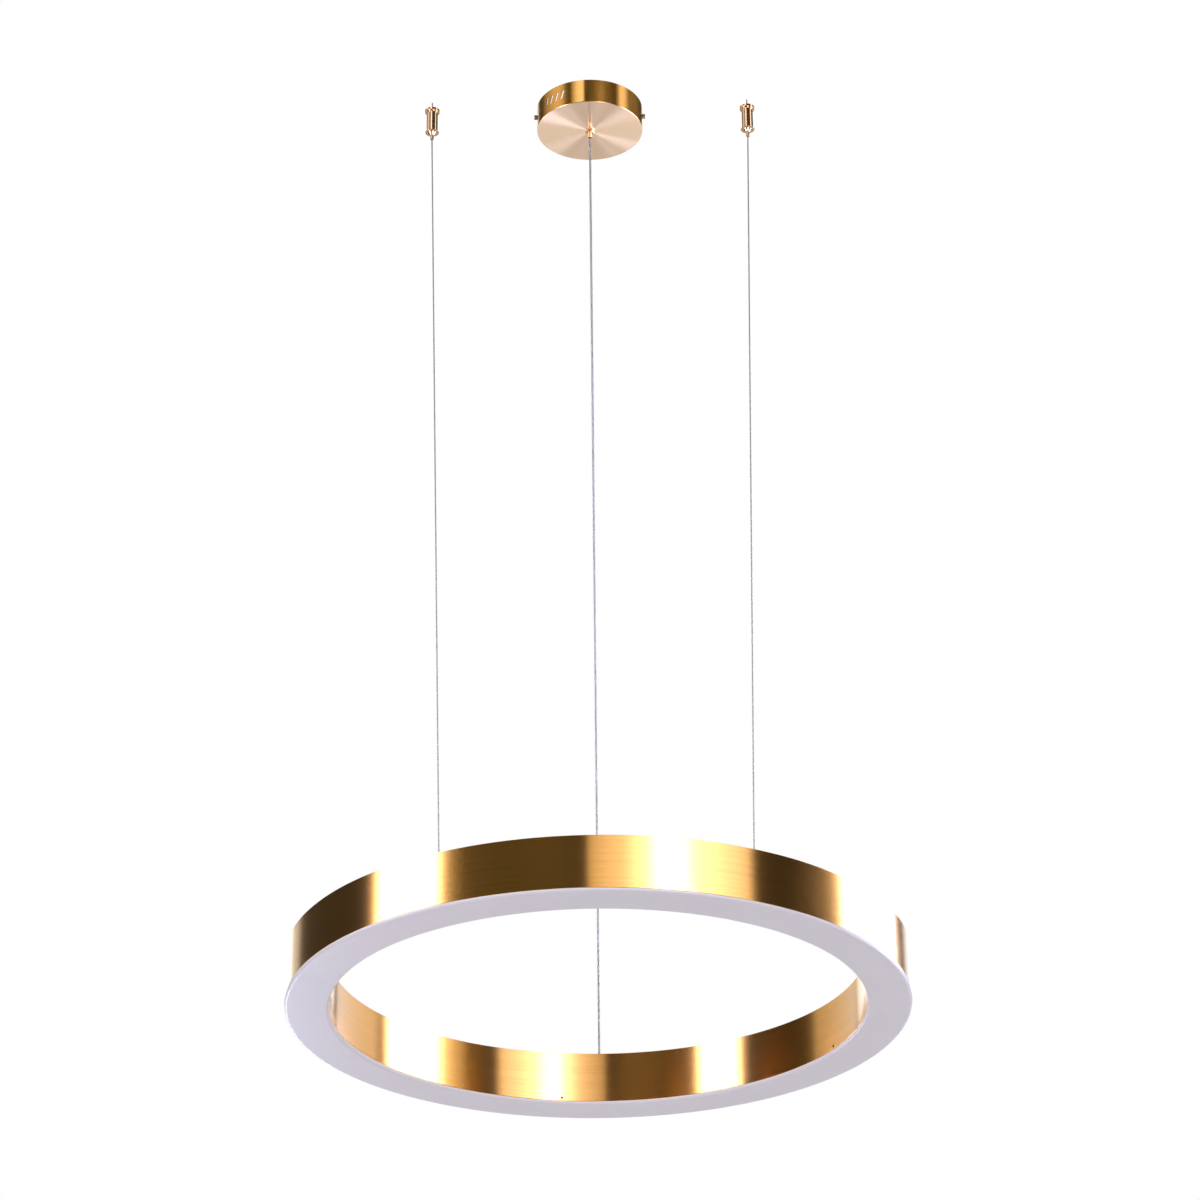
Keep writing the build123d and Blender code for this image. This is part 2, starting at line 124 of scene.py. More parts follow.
class HousingSizes(bpy.types.PropertyGroup):
    """Sizes of the light ring's metal housing."""

    outer_radius: metres(
        "Outer radius", "Centre of the ring to the face of its outer wall", reach("outer_wall"), 0.2, 0.6
    )
    section_width: metres(
        "Section width", "Outer wall's outer face to inner wall's inner face", 0.057, 0.02, 0.1
    )
    sheet: metres("Sheet", "Thickness of the walls", 0.002, 0.0005, 0.005)
    edge_rounding: metres(
        "Edge rounding", "Radius that brushing leaves on the sheet's edges", 0.0004, 0, 0.001
    )
    screw_hole: metres(
        "Screw hole", "Radius of the holes for the grub screws in the inner wall", 0.00195, 0.001, 0.004
    )
    steps: whole("Steps", "Facets round the ring", 360, 96, 720)


class DiffuserSizes(bpy.types.PropertyGroup):
    """Sizes of the opal diffuser tray."""

    lip_rounding: metres("Lip rounding", "Radius along the lower edges", 0.0044, 0.001, 0.0048)
    lip_height: metres("Lip height", "What shows below the housing", 0.005, 0.003, 0.01)
    floor: metres("Floor", "Thickness of the lit face", 0.003, 0.0015, 0.004)
    flange: metres("Flange", "Thickness of the flanges inside the walls", 0.0022, 0.001, 0.004)
    flange_gap: metres("Flange gap", "Flanges to the walls", 0.001, 0.0003, 0.003)


class GripperSizes(bpy.types.PropertyGroup):
    """Sizes of a cable gripper, from the ceiling down."""

    cap_radius: metres("Cap radius", "Disc against the ceiling", reach("gripper_cap_left"), 0.006, 0.02)
    screw_bore: metres("Screw bore", "Radius of the bores for the cap's screws", 0.0014, 0.001, 0.0025)
    screw_place: metres("Screw place", "Rope to a screw bore", 0.0036, 0.003, 0.007)
    rope_bore: metres("Rope bore", "Radius of the rope's way through", 0.0014, 0.00105, 0.003)
    barrel_radius: metres(
        "Barrel radius", "Outer radius of the tube", reach("gripper_barrel_left"), 0.004, 0.015
    )
    barrel_wall: metres("Barrel wall", "Thickness of the tube", 0.002, 0.0005, 0.004)
    collar_radius: metres(
        "Collar radius", "Thin flange under the barrel", reach("gripper_collar_left"), 0.005, 0.02
    )
    collar_thickness: metres("Collar thickness", "Thickness of that flange", 0.0008, 0.0003, 0.003)
    cone_radius: metres("Cone radius", "Upper radius of the cone", 0.0062, 0.004, 0.01)
    cone_tip: metres("Cone tip", "Lower radius of the cone", 0.0034, 0.0028, 0.008)
    nozzle_radius: metres("Nozzle radius", "Radius of the plunger's nozzle", 0.0026, 0.0015, 0.005)
    stop_thickness: metres("Stop thickness", "Thickness of the plunger's stop", 0.001, 0.0005, 0.003)
    play: metres("Play", "Gap between sliding or screwed parts", 0.00005, 0, 0.0003)
    rounding: metres("Rounding", "Radius on the turned edges", 0.00025, 0, 0.001)
    spring_wire: metres("Spring wire", "Radius of the spring's wire", 0.00045, 0.0002, 0.0006)
    spring_turns: whole("Spring turns", "Turns of the spring", 6, 3, 9)


class CanopySizes(bpy.types.PropertyGroup):
    """Sizes of the canopy, of its knurled screws and of the softened edges inside it."""

    radius: metres("Radius", "Outer radius of the cup", reach("canopy_cup"), 0.05, 0.12)
    wall: metres("Wall", "Thickness of the cup", 0.0012, 0.0005, 0.003)
    rounding: metres("Rounding", "Radius round the cup's lower edge", 0.0008, 0, 0.0011)
    rim_rounding: metres("Rim rounding", "Radius on the sheet's cut edges", 0.0002, 0, 0.0005)
    gland_hole: metres("Gland hole", "Radius of the hole for the cord gland", 0.0042, 0.002, 0.01)
    screw_hole: metres("Screw hole", "Radius of the holes for the thumb screws", 0.0022, 0.001, 0.004)
    vents: whole("Vents", "Slots in the wall", 4, 1, 8)
    vent_length: metres("Vent length", "Overall length of a slot", 0.014, 0.005, 0.025)
    vent_width: metres("Vent width", "Width of a slot", 0.0032, 0.001, 0.006)
    vent_middle: angle_setting(
        "Vent middle", "Middle of the row, round the cup from the viewer's side", radians(-42.3), -pi, pi
    )
    vent_step: angle_setting("Vent step", "Angle from slot to slot", radians(7.6), 0.05, 0.5)
    vent_lean: angle_setting("Vent lean", "Lean of the slots", radians(19), -1, 1)
    vent_depth: metres("Vent depth", "Ceiling to the middle of a slot", 0.018, 0.01, 0.03)
    knurls: whole("Knurls", "Teeth round a thumb screw's head", 26, 8, 60)
    knurl_depth: metres("Knurl depth", "Depth of the knurling", 0.00022, 0, 0.001)
    screw_head: metres("Screw head", "Height of a thumb screw's head", 0.004, 0.002, 0.01)
    screw_chamfer: metres("Screw chamfer", "Chamfer on the head", 0.0005, 0.0001, 0.001)
    screw_thread: metres("Screw thread", "Outer radius of the thread", 0.002, 0.001, 0.004)
    thread_end: metres("Thread end", "Chamfer on the thread's tip", 0.0004, 0.0001, 0.001)
    softening: metres("Softening", "Rounding on the edges of the sheet metal and cases", 0.0003, 0, 0.001)


class CableSizes(bpy.types.PropertyGroup):
    """Sizes of the steel ropes and of the supply cord."""

    rope_radius: metres("Rope radius", "Outer radius of a steel rope", 0.001, 0.0005, 0.003)
    rope_strands: whole("Rope strands", "Strands round the core", 6, 3, 12)
    rope_lay: metres("Rope lay", "Length of one turn of a strand", 0.014, 0.006, 0.05)
    cord_radius: metres("Cord radius", "Outer radius of the clear sleeve", 0.0015, 0.001, 0.004)
    wire_radius: metres("Wire radius", "Radius of a twisted wire inside the sleeve", 0.0006, 0.0003, 0.001)
    wire_lay: metres("Wire lay", "Length of one turn of the wires", 0.018, 0.008, 0.05)


class FinishColours(bpy.types.PropertyGroup):
    """Colours of the finishes."""

    brass: colour("Brass", "Lit tone of the brushed brass", (0.86, 0.42, 0.07))
    brass_lines: colour("Brass lines", "Deeper tone in the brush lines", (0.7, 0.32, 0.045))
    # The canopy underside's paler tone is a painted sheen: the spun face is the same brass, painted lighter
    # for the light it reflects.
    underside_painted_sheen: colour("Underside painted sheen", "Paler tone of the canopy's flat face", (0.95, 0.7, 0.5))
    polished: colour("Polished brass", "Turned fittings", (0.86, 0.53, 0.25))
    opal: colour("Opal", "Diffuser", (0.79, 0.735, 0.82))
    steel: colour("Steel", "Ropes, and the wires inside the cord", (0.42, 0.39, 0.335))
    sleeve: colour("Sleeve", "Clear sleeve of the supply cord", (0.93, 0.94, 0.95))


class StudioSettings(bpy.types.PropertyGroup):
    """Camera and light of the studio."""

    lens: bpy.props.FloatProperty(
        name="Lens", description="Focal length", default=120.4, min=20, max=300, unit="CAMERA"
    )
    distance: metres("Distance", "Camera to the middle of the lamp, along the floor", 4.8, 2, 12)
    drop: metres("Drop", "Ceiling to the camera", 3.226, 0, 5)
    pitch: angle_setting("Pitch", "How far the camera looks up", radians(26.93), -1.5, 1.5)
    roll: angle_setting("Roll", "Lean of the camera about its line of sight", radians(-0.6), -1.5, 1.5)
    floor_drop: metres("Floor drop", "Ceiling to the floor", 3.6, 1.5, 6)
    strength: bpy.props.FloatProperty(
        name="Strength", description="Of all the studio lights together", default=1.0, min=0, max=5
    )


# --- Shapes -----------------------------------------------------------------------------------


def turned(outline, steps, x=0.0):
    """Closed shell turned about the upright axis at x; the outline is (radius, z) pairs."""
    shape = bmesh.new()
    corners = [shape.verts.new((x + radius, 0, z)) for radius, z in outline]
    for start, end in zip(corners, corners[1:] + corners[:1]):
        shape.edges.new((start, end))
    bmesh.ops.spin(
        shape,
        geom=shape.verts[:] + shape.edges[:],
        cent=(x, 0, 0),
        axis=(0, 0, 1),
        angle=2 * pi,
        steps=steps,
        use_merge=True,
    )
    bmesh.ops.recalc_face_normals(shape, faces=shape.faces)
    return shape


def round_edges(shape, radius, segments=3, corner=40, where=lambda edge: True):
    """Rounds the edges that turn by more than corner degrees."""
    sharp = [
        edge
        for edge in shape.edges
        if edge.is_manifold and edge.calc_face_angle() > radians(corner) and where(edge)
    ]
    bmesh.ops.bevel(
        shape,
        geom=sharp,
        offset=radius,
        affect="EDGES",
        segments=segments,
        profile=0.5,
        material=-1,
        clamp_overlap=True,
    )


def upright_to(direction):
    """Turn that takes the upright axis to a direction."""
    return Vector((0, 0, 1)).rotation_difference(direction).to_matrix().to_4x4()


def add_bore(shape, radius, depth, place):
    """Adds a round cutter, along Z of its place."""
    bmesh.ops.create_cone(
        shape, cap_ends=True, segments=BORE_STEPS, radius1=radius, radius2=radius, depth=depth, matrix=place
    )


def close_ends(shape):
    """Caps the open ends of wires and turns every face outwards."""
    bmesh.ops.holes_fill(shape, edges=[edge for edge in shape.edges if edge.is_boundary])
    bmesh.ops.recalc_face_normals(shape, faces=shape.faces)


def finished_mesh(shape, name):
    """Mesh of a finished shape."""
    mesh = bpy.data.meshes.new(name)
    shape.to_mesh(mesh)
    shape.free()
    return mesh


def add_object(name, data):
    """New object in the scene, at the origin."""
    made = bpy.data.objects.new(name, data)
    bpy.context.scene.collection.objects.link(made)
    return made


def even_shading(piece):
    """Keeps flat faces flat between rounded edges."""
    modifier = piece.modifiers.new("Even shading", "WEIGHTED_NORMAL")
    modifier.keep_sharp = True


def soften(node, width):
    """Rounds a carried-over node's sharp edges a little, live and without touching its mesh."""
    weld = node.modifiers.new("Weld", "WELD")
    weld.merge_threshold = TINY
    edges = node.modifiers.new("Soft edges", "BEVEL")
    edges.width = width
    edges.segments = 2
    edges.limit_method = "ANGLE"
    edges.angle_limit = radians(35)
    even_shading(node)


def make_piece(shape, name, body, finish, stands_for=()):
    """Turns a finished shape into an object that rides on a body."""
    mesh = finished_mesh(shape, name)
    mesh.shade_smooth()
    mesh.materials.append(finish)
    piece = add_object(name, mesh)
    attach(piece, body)
    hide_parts(*stands_for)
    return piece


def cut_away(piece, cutter_shape):
    """Cuts the cutter out of a piece for good."""
    cutter = add_object("cutter", finished_mesh(cutter_shape, "cutter"))
    modifier = piece.modifiers.new("Cut", "BOOLEAN")
    modifier.operation = "DIFFERENCE"
    modifier.solver = "EXACT"
    modifier.object = cutter
    graph = bpy.context.evaluated_depsgraph_get()
    piece.data = bpy.data.meshes.new_from_object(piece.evaluated_get(graph))
    piece.modifiers.remove(modifier)
    piece.data.set_sharp_from_angle(angle=radians(40))
    bpy.data.objects.remove(cutter)


def twisted(start, end, radius, strands, strand_radius, lay, core=False, sides=8, per_turn=10):
    """Strands that twist round the straight line from start to end."""
    shape = bmesh.new()
    ring = radius - strand_radius
    angles = [2 * pi * strand / strands for strand in range(strands)]
    places = [Matrix.Translation((ring * cos(angle), ring * sin(angle), 0)) for angle in angles]
    for place in places + [Matrix()] * core:
        bmesh.ops.create_circle(shape, segments=sides, radius=strand_radius, matrix=place)
    length = (end - start).length
    turns = max(1, round(length / lay))
    pitch = length / turns
    bmesh.ops.spin(
        shape,
        geom=shape.verts[:] + shape.edges[:],
        cent=(0, 0, 0),
        axis=(0, 0, 1),
        dvec=(0, 0, pitch / per_turn),
        angle=2 * pi,
        steps=per_turn,
    )
    one_turn = bpy.data.meshes.new("one_turn")
    shape.to_mesh(one_turn)
    shape.clear()
    for _ in range(turns):
        shape.from_mesh(one_turn)
        one_turn.transform(Matrix.Translation((0, 0, pitch)))
    bpy.data.meshes.remove(one_turn)
    bmesh.ops.remove_doubles(shape, verts=shape.verts, dist=strand_radius / 100)
    close_ends(shape)
    place = Matrix.Translation(start) @ upright_to(end - start)
    bmesh.ops.transform(shape, matrix=place, verts=shape.verts)
    return shape


def cable_route(name, points):
    """Smooth line through a cable's route, as a curve with no thickness."""
    curve = bpy.data.curves.new(name, "CURVE")
    curve.dimensions = "3D"
    spline = curve.splines.new("NURBS")
    spline.points.add(len(points) - 1)
    for control, point in zip(spline.points, points):
        control.co = (*point, 1)
    spline.order_u = 3
    spline.use_endpoint_u = True
    return curve


def route_points(curve):
    """Points along a route, for what follows it."""
    route = bpy.data.objects.new("route", curve)
    mesh = bpy.data.meshes.new_from_object(route)
    points = [vertex.co.copy() for vertex in mesh.vertices]
    bpy.data.objects.remove(route)
    return points


# --- Finishes ---------------------------------------------------------------------------------

WHITE = (1.0, 1.0, 1.0, 1.0)
FLAT_FACING = 0.6  # upright part of the normal above which a face counts as flat
BOARD_WIDTH = 0.03
CHIP_BOTTOM = 0.0002  # what lies this close to the board's lower end is a chip
TRACK_PLACE, TRACK_REACH = 0.008, 0.0012  # each track to the board's middle line, and half its width


def add_node(tree, kind, settings=None, **values):
    """Shader node with its settings; each value is a number, a colour or a socket to join."""
    made = tree.nodes.new("ShaderNode" + kind)
    for name, setting in (settings or {}).items():
        setattr(made, name, setting)
    for name, value in values.items():
        socket = made.inputs[int(name[1:]) if name[1:].isdigit() else name.replace("_", " ")]
        if isinstance(value, bpy.types.NodeSocket):
            tree.links.new(value, socket)
        else:
            socket.default_value = value
    return made


def calculate(tree, operation, first, second=0.0, third=0.0):
    """Result of a Math node."""
    return add_node(tree, "Math", {"operation": operation}, _0=first, _1=second, _2=third).outputs[0]


def weigh(tree, share, first, second):
    """Share of the first value and the rest of the second."""
    return calculate(tree, "MULTIPLY_ADD", first, share, calculate(tree, "MULTIPLY", second, 1 - share))


def fade(tree, value, start, end, kind="LINEAR"):
    """Rise from 0 to 1 while a value goes from start to end."""
    made = add_node(tree, "MapRange", {"interpolation_type": kind}, Value=value, From_Min=start, From_Max=end)
    return made.outputs[0]


def blend_colours(tree, amount, first, second):
    """Mix of two colours."""
    return add_node(tree, "Mix", {"data_type": "RGBA"}, _0=amount, _6=first, _7=second).outputs[2]


def vector_result(tree, operation, output, first, **values):
    """Result of a Vector Math node."""
    return add_node(tree, "VectorMath", {"operation": operation}, _0=first, **values).outputs[output]


def split(tree, vector):
    """The three parts of a vector."""
    return add_node(tree, "SeparateXYZ", Vector=vector).outputs


def combine(tree, x, y, z=0.0):
    """Vector from its parts."""
    return add_node(tree, "CombineXYZ", X=x, Y=y, Z=z).outputs[0]


def noise(tree, vector, scale, detail=2.0, roughness=0.5, distortion=0.0):
    """Noise on a vector."""
    form = {"Detail": detail, "Roughness": roughness, "Distortion": distortion}
    return add_node(tree, "TexNoise", Vector=vector, Scale=scale, **form).outputs[0]


def new_pattern(name, numbers, tones):
    """Shader group of a surface pattern; gives the group, its inputs and its outputs."""
    group = bpy.data.node_groups.new(name, "ShaderNodeTree")
    for label in (*numbers, "Roughness", "Roughness spread"):
        group.interface.new_socket(name=label, in_out="INPUT", socket_type="NodeSocketFloat")
    for label in tones:
        group.interface.new_socket(name=label, in_out="INPUT", socket_type="NodeSocketColor")
    for label, kind in (("Colour", "Color"), ("Roughness", "Float"), ("Height", "Float")):
        group.interface.new_socket(name=label, in_out="OUTPUT", socket_type="NodeSocket" + kind)
    return group, group.nodes.new("NodeGroupInput").outputs, group.nodes.new("NodeGroupOutput").inputs


def end_pattern(group, given, result, tone, unevenness, height):
    """Joins a pattern's colour, its uneven roughness and its height to the group's outputs."""
    group.links.new(tone, result["Colour"])
    uneven = calculate(group, "SUBTRACT", unevenness, 0.5)
    roughness = calculate(group, "MULTIPLY_ADD", uneven, given["Roughness spread"], given["Roughness"])
    group.links.new(roughness, result["Roughness"])
    group.links.new(height, result["Height"])


def make_brushed_group():
    """Fine lines round the lamp's upright axis, on walls and on flat faces alike; flat faces also take their
    own tone, which is painted light on the canopy's underside and painted shade on the fittings' flanges.
    """
    group, given, result = new_pattern("Brushed lines", ["Lines", "Run"], ["Tone", "Line tone", "Flat tone"])
    place = add_node(group, "TexCoord").outputs
    parts = split(group, place["Object"])
    facing = calculate(group, "ABSOLUTE", split(group, place["Normal"])[2])
    flat = calculate(group, "GREATER_THAN", facing, FLAT_FACING)
    across = combine(group, parts[0], parts[1])
    radius = vector_result(group, "LENGTH", "Value", across)
    unit = vector_result(group, "NORMALIZE", 0, across)
    unit = split(group, vector_result(group, "SCALE", 0, unit, Scale=0.1))
    on_flat = combine(group, unit[0], unit[1], radius)
    either = add_node(group, "Mix", {"data_type": "VECTOR"}, _0=flat, _4=place["Object"], _5=on_flat)
    vector = either.outputs[1]
    stretch = combine(group, given["Run"], given["Run"], given["Lines"])
    fine_place = vector_result(group, "MULTIPLY", 0, vector, _1=stretch)
    fine = noise(group, fine_place, 1.0, detail=3.0, roughness=0.65)
    broad = noise(group, fine_place, 0.16)
    patch = noise(group, vector, 3.0)
    lines = weigh(group, 0.6, fine, broad)
    # Flat faces take the flat tone: painted light on the canopy's underside, painted shade on the fittings'
    # flanges; the ring's flat faces keep the brass tone.
    tone = blend_colours(group, flat, given["Tone"], given["Flat tone"])
    flat_lines = blend_colours(group, 0.12, given["Flat tone"], given["Line tone"])
    line_tone = blend_colours(group, flat, given["Line tone"], flat_lines)
    lined = blend_colours(group, fade(group, lines, 0.3, 0.7), line_tone, tone)
    end_pattern(group, given, result, lined, weigh(group, 0.7, lines, patch), lines)


def make_marks_group():
    """Soft marks of handling and uneven lacquer."""
    group, given, result = new_pattern("Soft marks", ["Size"], ["Tone", "Mark tone"])
    place = add_node(group, "TexCoord").outputs["Object"]
    broad = noise(group, place, given["Size"], detail=4.0, roughness=0.6, distortion=0.6)
    fine = noise(group, place, 900.0, roughness=0.6)
    mark = fade(group, broad, 0.35, 0.7)
    marked_tone = blend_colours(group, mark, given["Tone"], given["Mark tone"])
    end_pattern(group, given, result, marked_tone, weigh(group, 0.3, fine, mark), fine)


def make_grain_group():
    """Fine moulded or rolled grain."""
    group, given, result = new_pattern("Fine grain", ["Size"], ["Tone", "Grain tone"])
    place = add_node(group, "TexCoord").outputs["Object"]
    cells = add_node(
        group, "TexVoronoi", {"feature": "SMOOTH_F1"}, Vector=place, Scale=given["Size"], Smoothness=0.4
    ).outputs["Distance"]
    both = weigh(group, 0.5, cells, noise(group, place, 45.0, detail=3.0, roughness=0.6))
    grained = blend_colours(group, both, given["Tone"], given["Grain tone"])
    end_pattern(group, given, result, grained, both, cells)


def solid(tone):
    """Colour with full alpha."""
    return (*tone, 1.0)


def shade(tone, factor):
    """Darker colour."""
    return [part * factor for part in tone]


def start_finish(name, slot, **constants):
    """New material; constants are set on its shader's own sockets."""
    finish = bpy.data.materials.new(name)
    finish["slot"] = slot
    finish.use_nodes = True
    tree = finish.node_tree
    tree.nodes.clear()
    shader = add_node(tree, "BsdfPrincipled", **constants)
    add_node(tree, "OutputMaterial", Surface=shader.outputs[0])
    return tree, shader


def cover(tree, shader, pattern, depth, strength=0.3, **values):
    """Joins a pattern to a shader and gives its colour; tones are three numbers each."""
    values = {label: solid(value) if "tone" in label.lower() else value for label, value in values.items()}
    surface = add_node(tree, "Group", {"node_tree": bpy.data.node_groups[pattern]}, **values).outputs
    tree.links.new(surface["Colour"], shader.inputs["Base Color"])
    tree.links.new(surface["Roughness"], shader.inputs["Roughness"])
    bump = add_node(tree, "Bump", Strength=strength, Distance=depth, Height=surface["Height"])
    tree.links.new(bump.outputs[0], shader.inputs["Normal"])
    return surface["Colour"]


def brushed_brass(name, slot, flat_tone, lines, run, roughness, coat):
    """Lacquered brass with fine brush lines, and a highlight that is stretched across them."""
    colours = bpy.context.scene.chandelier_colours
    tree, shader = start_finish(
        name,
        slot,
        Metallic=1.0,
        Anisotropic=0.97,
        Anisotropic_Rotation=0.25,
        Coat_Weight=coat,
        Coat_IOR=1.5,
        Coat_Roughness=0.14,
    )
    cover(
        tree,
        shader,
        "Brushed lines",
        depth=2e-5,
        Lines=lines,
        Run=run,
        Tone=colours.brass,
        Line_tone=colours.brass_lines,
        # Flat faces take this tone: a painted sheen on the canopy's underside, the plain brass tone on the
        # ring.
        Flat_tone=flat_tone,
        Roughness=roughness,
        Roughness_spread=0.06,
    )
    tangent = add_node(tree, "Tangent", {"direction_type": "RADIAL", "axis": "Z"})
    tree.links.new(tangent.outputs[0], shader.inputs["Tangent"])


def polished_brass():
    """Turned and polished fittings."""
    tone = bpy.context.scene.chandelier_colours.polished
    tree, shader = start_finish(
        "Polished brass", "polished_brass", Metallic=1.0, Coat_Weight=1.0, Coat_Roughness=0.08
    )
    cover(
        tree,
        shader,
        "Brushed lines",
        depth=5e-6,
        strength=0.2,
        Lines=5000.0,
        Run=30.0,
        Tone=tone,
        Line_tone=shade(tone, 0.92),
        # Painted shade: flat faces, such as the flanges' undersides, are darkened to dim their bright
        # reflections.
        Flat_tone=shade(tone, 0.6),
        Roughness=0.2,
        Roughness_spread=0.08,
    )


def marked(name, slot, tone, mark, size, roughness, spread=0.16, depth=8e-6, **constants):
    """Finish with soft marks, such as uneven plating or drawing marks."""
    tree, shader = start_finish(name, slot, **constants)
    cover(
        tree,
        shader,
        "Soft marks",
        depth,
        Size=size,
        Tone=tone,
        Mark_tone=mark,
        Roughness=roughness,
        Roughness_spread=spread,
    )


def moulded(name, slot, tone, grain, roughness, spread=0.12, size=1400.0, **constants):
    """Moulded or printed finish with a fine grain; gives its tree, its shader and its colour."""
    tree, shader = start_finish(name, slot, **constants)
    surface = cover(
        tree,
        shader,
        "Fine grain",
        depth=3e-5,
        Size=size,
        Tone=tone,
        Grain_tone=grain,
        Roughness=roughness,
        Roughness_spread=spread,
    )
    return tree, shader, surface


def light_board():
    """White light board: amber phosphor on its chips and thin tracks between them."""
    tree, shader, white = moulded(
        "Light board",
        "light_board",
        (0.88, 0.89, 0.87),
        (0.82, 0.83, 0.81),
        roughness=0.4,
        spread=0.1,
        size=900.0,
        Specular_IOR_Level=0.4,
    )
    parts = split(tree, add_node(tree, "TexCoord").outputs["Object"])
    chip = calculate(tree, "LESS_THAN", parts[2], level("light_board", 0) + CHIP_BOTTOM)
    radius = vector_result(tree, "LENGTH", "Value", combine(tree, parts[0], parts[1]))
    off_middle = calculate(tree, "SUBTRACT", radius, reach("light_board") - BOARD_WIDTH / 2)
    off_track = calculate(tree, "SUBTRACT", calculate(tree, "ABSOLUTE", off_middle), TRACK_PLACE)
    track = calculate(tree, "LESS_THAN", calculate(tree, "ABSOLUTE", off_track), TRACK_REACH)
    faint = calculate(tree, "MULTIPLY", track, 0.35)
    tracked = blend_colours(tree, faint, white, (0.7, 0.62, 0.4, 1))
    chips = blend_colours(tree, chip, tracked, (0.92, 0.72, 0.12, 1))
    tree.links.new(chips, shader.inputs["Base Color"])


def finish_for(slot):
    """Material made for a slot of the record."""
    return next(finish for finish in bpy.data.materials if finish.get("slot") == slot)


# --- Operators --------------------------------------------------------------------------------


class CHANDELIER_OT_finishes(bpy.types.Operator):
    """Make every finish, and give each carried-over CAD node its own"""

    bl_idname = "chandelier.finishes"
    bl_label = "Finishes"

    def execute(self, context):
        make_brushed_group()
        make_marks_group()
        make_grain_group()
        colours = context.scene.chandelier_colours
        # The canopy's flat underside takes the painted sheen tone; the ring's flat faces keep the plain brass
        # tone.
        underside, brass = colours.underside_painted_sheen, colours.brass
        brushed_brass("Brushed brass, canopy", "brushed_brass", underside, 2600.0, 14.0, 0.25, coat=0.3)
        brushed_brass("Brushed brass, ring", "brushed_brass_sheet", brass, 2200.0, 7.0, 0.2, coat=1.0)
        polished_brass()
        for name, slot, tone, mark, size, roughness in (
            ("Zinc plated steel", "zinc_steel", (0.66, 0.67, 0.68), (0.52, 0.54, 0.56), 160.0, 0.34),
            ("Spring steel", "spring_steel", (0.5, 0.5, 0.52), (0.4, 0.4, 0.42), 400.0, 0.3),
            ("Blackened screws", "black_screw", (0.05, 0.045, 0.04), (0.1, 0.085, 0.07), 600.0, 0.4),
            ("Mill aluminium", "plain_aluminium", (0.76, 0.77, 0.78), (0.66, 0.67, 0.69), 40.0, 0.38),
        ):
            marked(name, slot, tone, mark, size, roughness, Metallic=1.0)
        dark, darker = (0.42, 0.29, 0.11), (0.2, 0.14, 0.06)
        marked("Darkened brass", "dark_brass", dark, darker, 500.0, 0.36, 0.2, 1e-5, Metallic=1.0)
        steel, sleeve, opal = colours.steel, colours.sleeve, colours.opal
        marked("Rope steel", "steel_rope", steel, shade(steel, 0.72), 300.0, 0.55, 0.2, 2e-5, Metallic=0.55)
        marked(
            "Clear sleeve",
            "clear_sleeve",
            sleeve,
            shade(sleeve, 0.95),
            size=120.0,
            roughness=0.1,
            spread=0.08,
            depth=1e-5,
            IOR=1.45,
            Transmission_Weight=0.92,
        )
        marked(
            "Opal acrylic",
            "opal_diffuser",
            opal,
            shade(opal, 0.965),
            size=9.0,
            roughness=0.42,
            spread=0.1,
            depth=2e-5,
            IOR=1.49,
            Subsurface_Weight=0.25,
            Subsurface_Radius=(0.004, 0.0038, 0.004),
            Subsurface_Scale=1.0,
            Specular_IOR_Level=0.32,
            Coat_Weight=0.04,
            Coat_Roughness=0.2,
        )
        moulded("White case", "white_case", (0.86, 0.86, 0.84), (0.8, 0.8, 0.78), 0.46)
        moulded("Cream plastic", "cream_plastic", (0.8, 0.75, 0.63), (0.73, 0.68, 0.56), 0.42)
        moulded("White sleeve", "white_sleeve", (0.86, 0.86, 0.86), (0.8, 0.8, 0.8), 0.36, size=2200.0)
        light_board()
        slots = {part["node"]: part["material_slot"] for part in frame["record"]["subparts"]}
        for name, node in nodes.items():
            node.material_slots[0].material = finish_for(slots[name])
        return {"FINISHED"}


class CHANDELIER_OT_soft_edges(bpy.types.Operator):
    """Soften the edges of the carried-over nodes that can be seen"""

    bl_idname = "chandelier.soft_edges"
    bl_label = "Soft edges"

    def execute(self, context):
        width = context.scene.chandelier_canopy.softening
        places = ("left", "right", "centre")
        anchors = [f"{part}_{place}" for place in places for part in ("anchor", "anchor_nut")]
        cases = ["ceiling_bracket", "led_driver", "terminal_block", "gland_nut", "ring_plug"]
        for name in cases + anchors:
            soften(nodes[name], width)
        return {"FINISHED"}


class CHANDELIER_OT_housing(bpy.types.Operator):
    """Build the ring's brushed walls, with their holes for the grub screws"""

    bl_idname = "chandelier.housing"
    bl_label = "Ring housing"

    def execute(self, context):
        sizes = context.scene.chandelier_housing
        top, bottom = level("outer_wall", 1), level("outer_wall", 0)
        inside = sizes.outer_radius - sizes.section_width
        brass = finish_for("brushed_brass_sheet")
        for name, node, near, far in (
            ("housing_outer_wall", "outer_wall", sizes.outer_radius - sizes.sheet, sizes.outer_radius),
            ("housing_inner_wall", "inner_wall", inside, inside + sizes.sheet),
        ):
            shape = turned([(near, bottom), (far, bottom), (far, top), (near, top)], sizes.steps)
            round_edges(shape, sizes.edge_rounding)
            wall = make_piece(shape, name, "ring", brass, [node])
            if node == "inner_wall":
                cut_away(wall, self.screw_bores(sizes))
            even_shading(wall)
        return {"FINISHED"}

    def screw_bores(self, sizes):
        """Round bores through the inner wall, one at each grub screw."""
        shape = bmesh.new()
        for name in sorted(nodes):
            if name.startswith("tray_screw"):
                screw = middle(name)
                place = Matrix.Translation(screw) @ upright_to(Vector((screw.x, screw.y, 0)))
                add_bore(shape, sizes.screw_hole, 4 * sizes.sheet, place)
        return shape


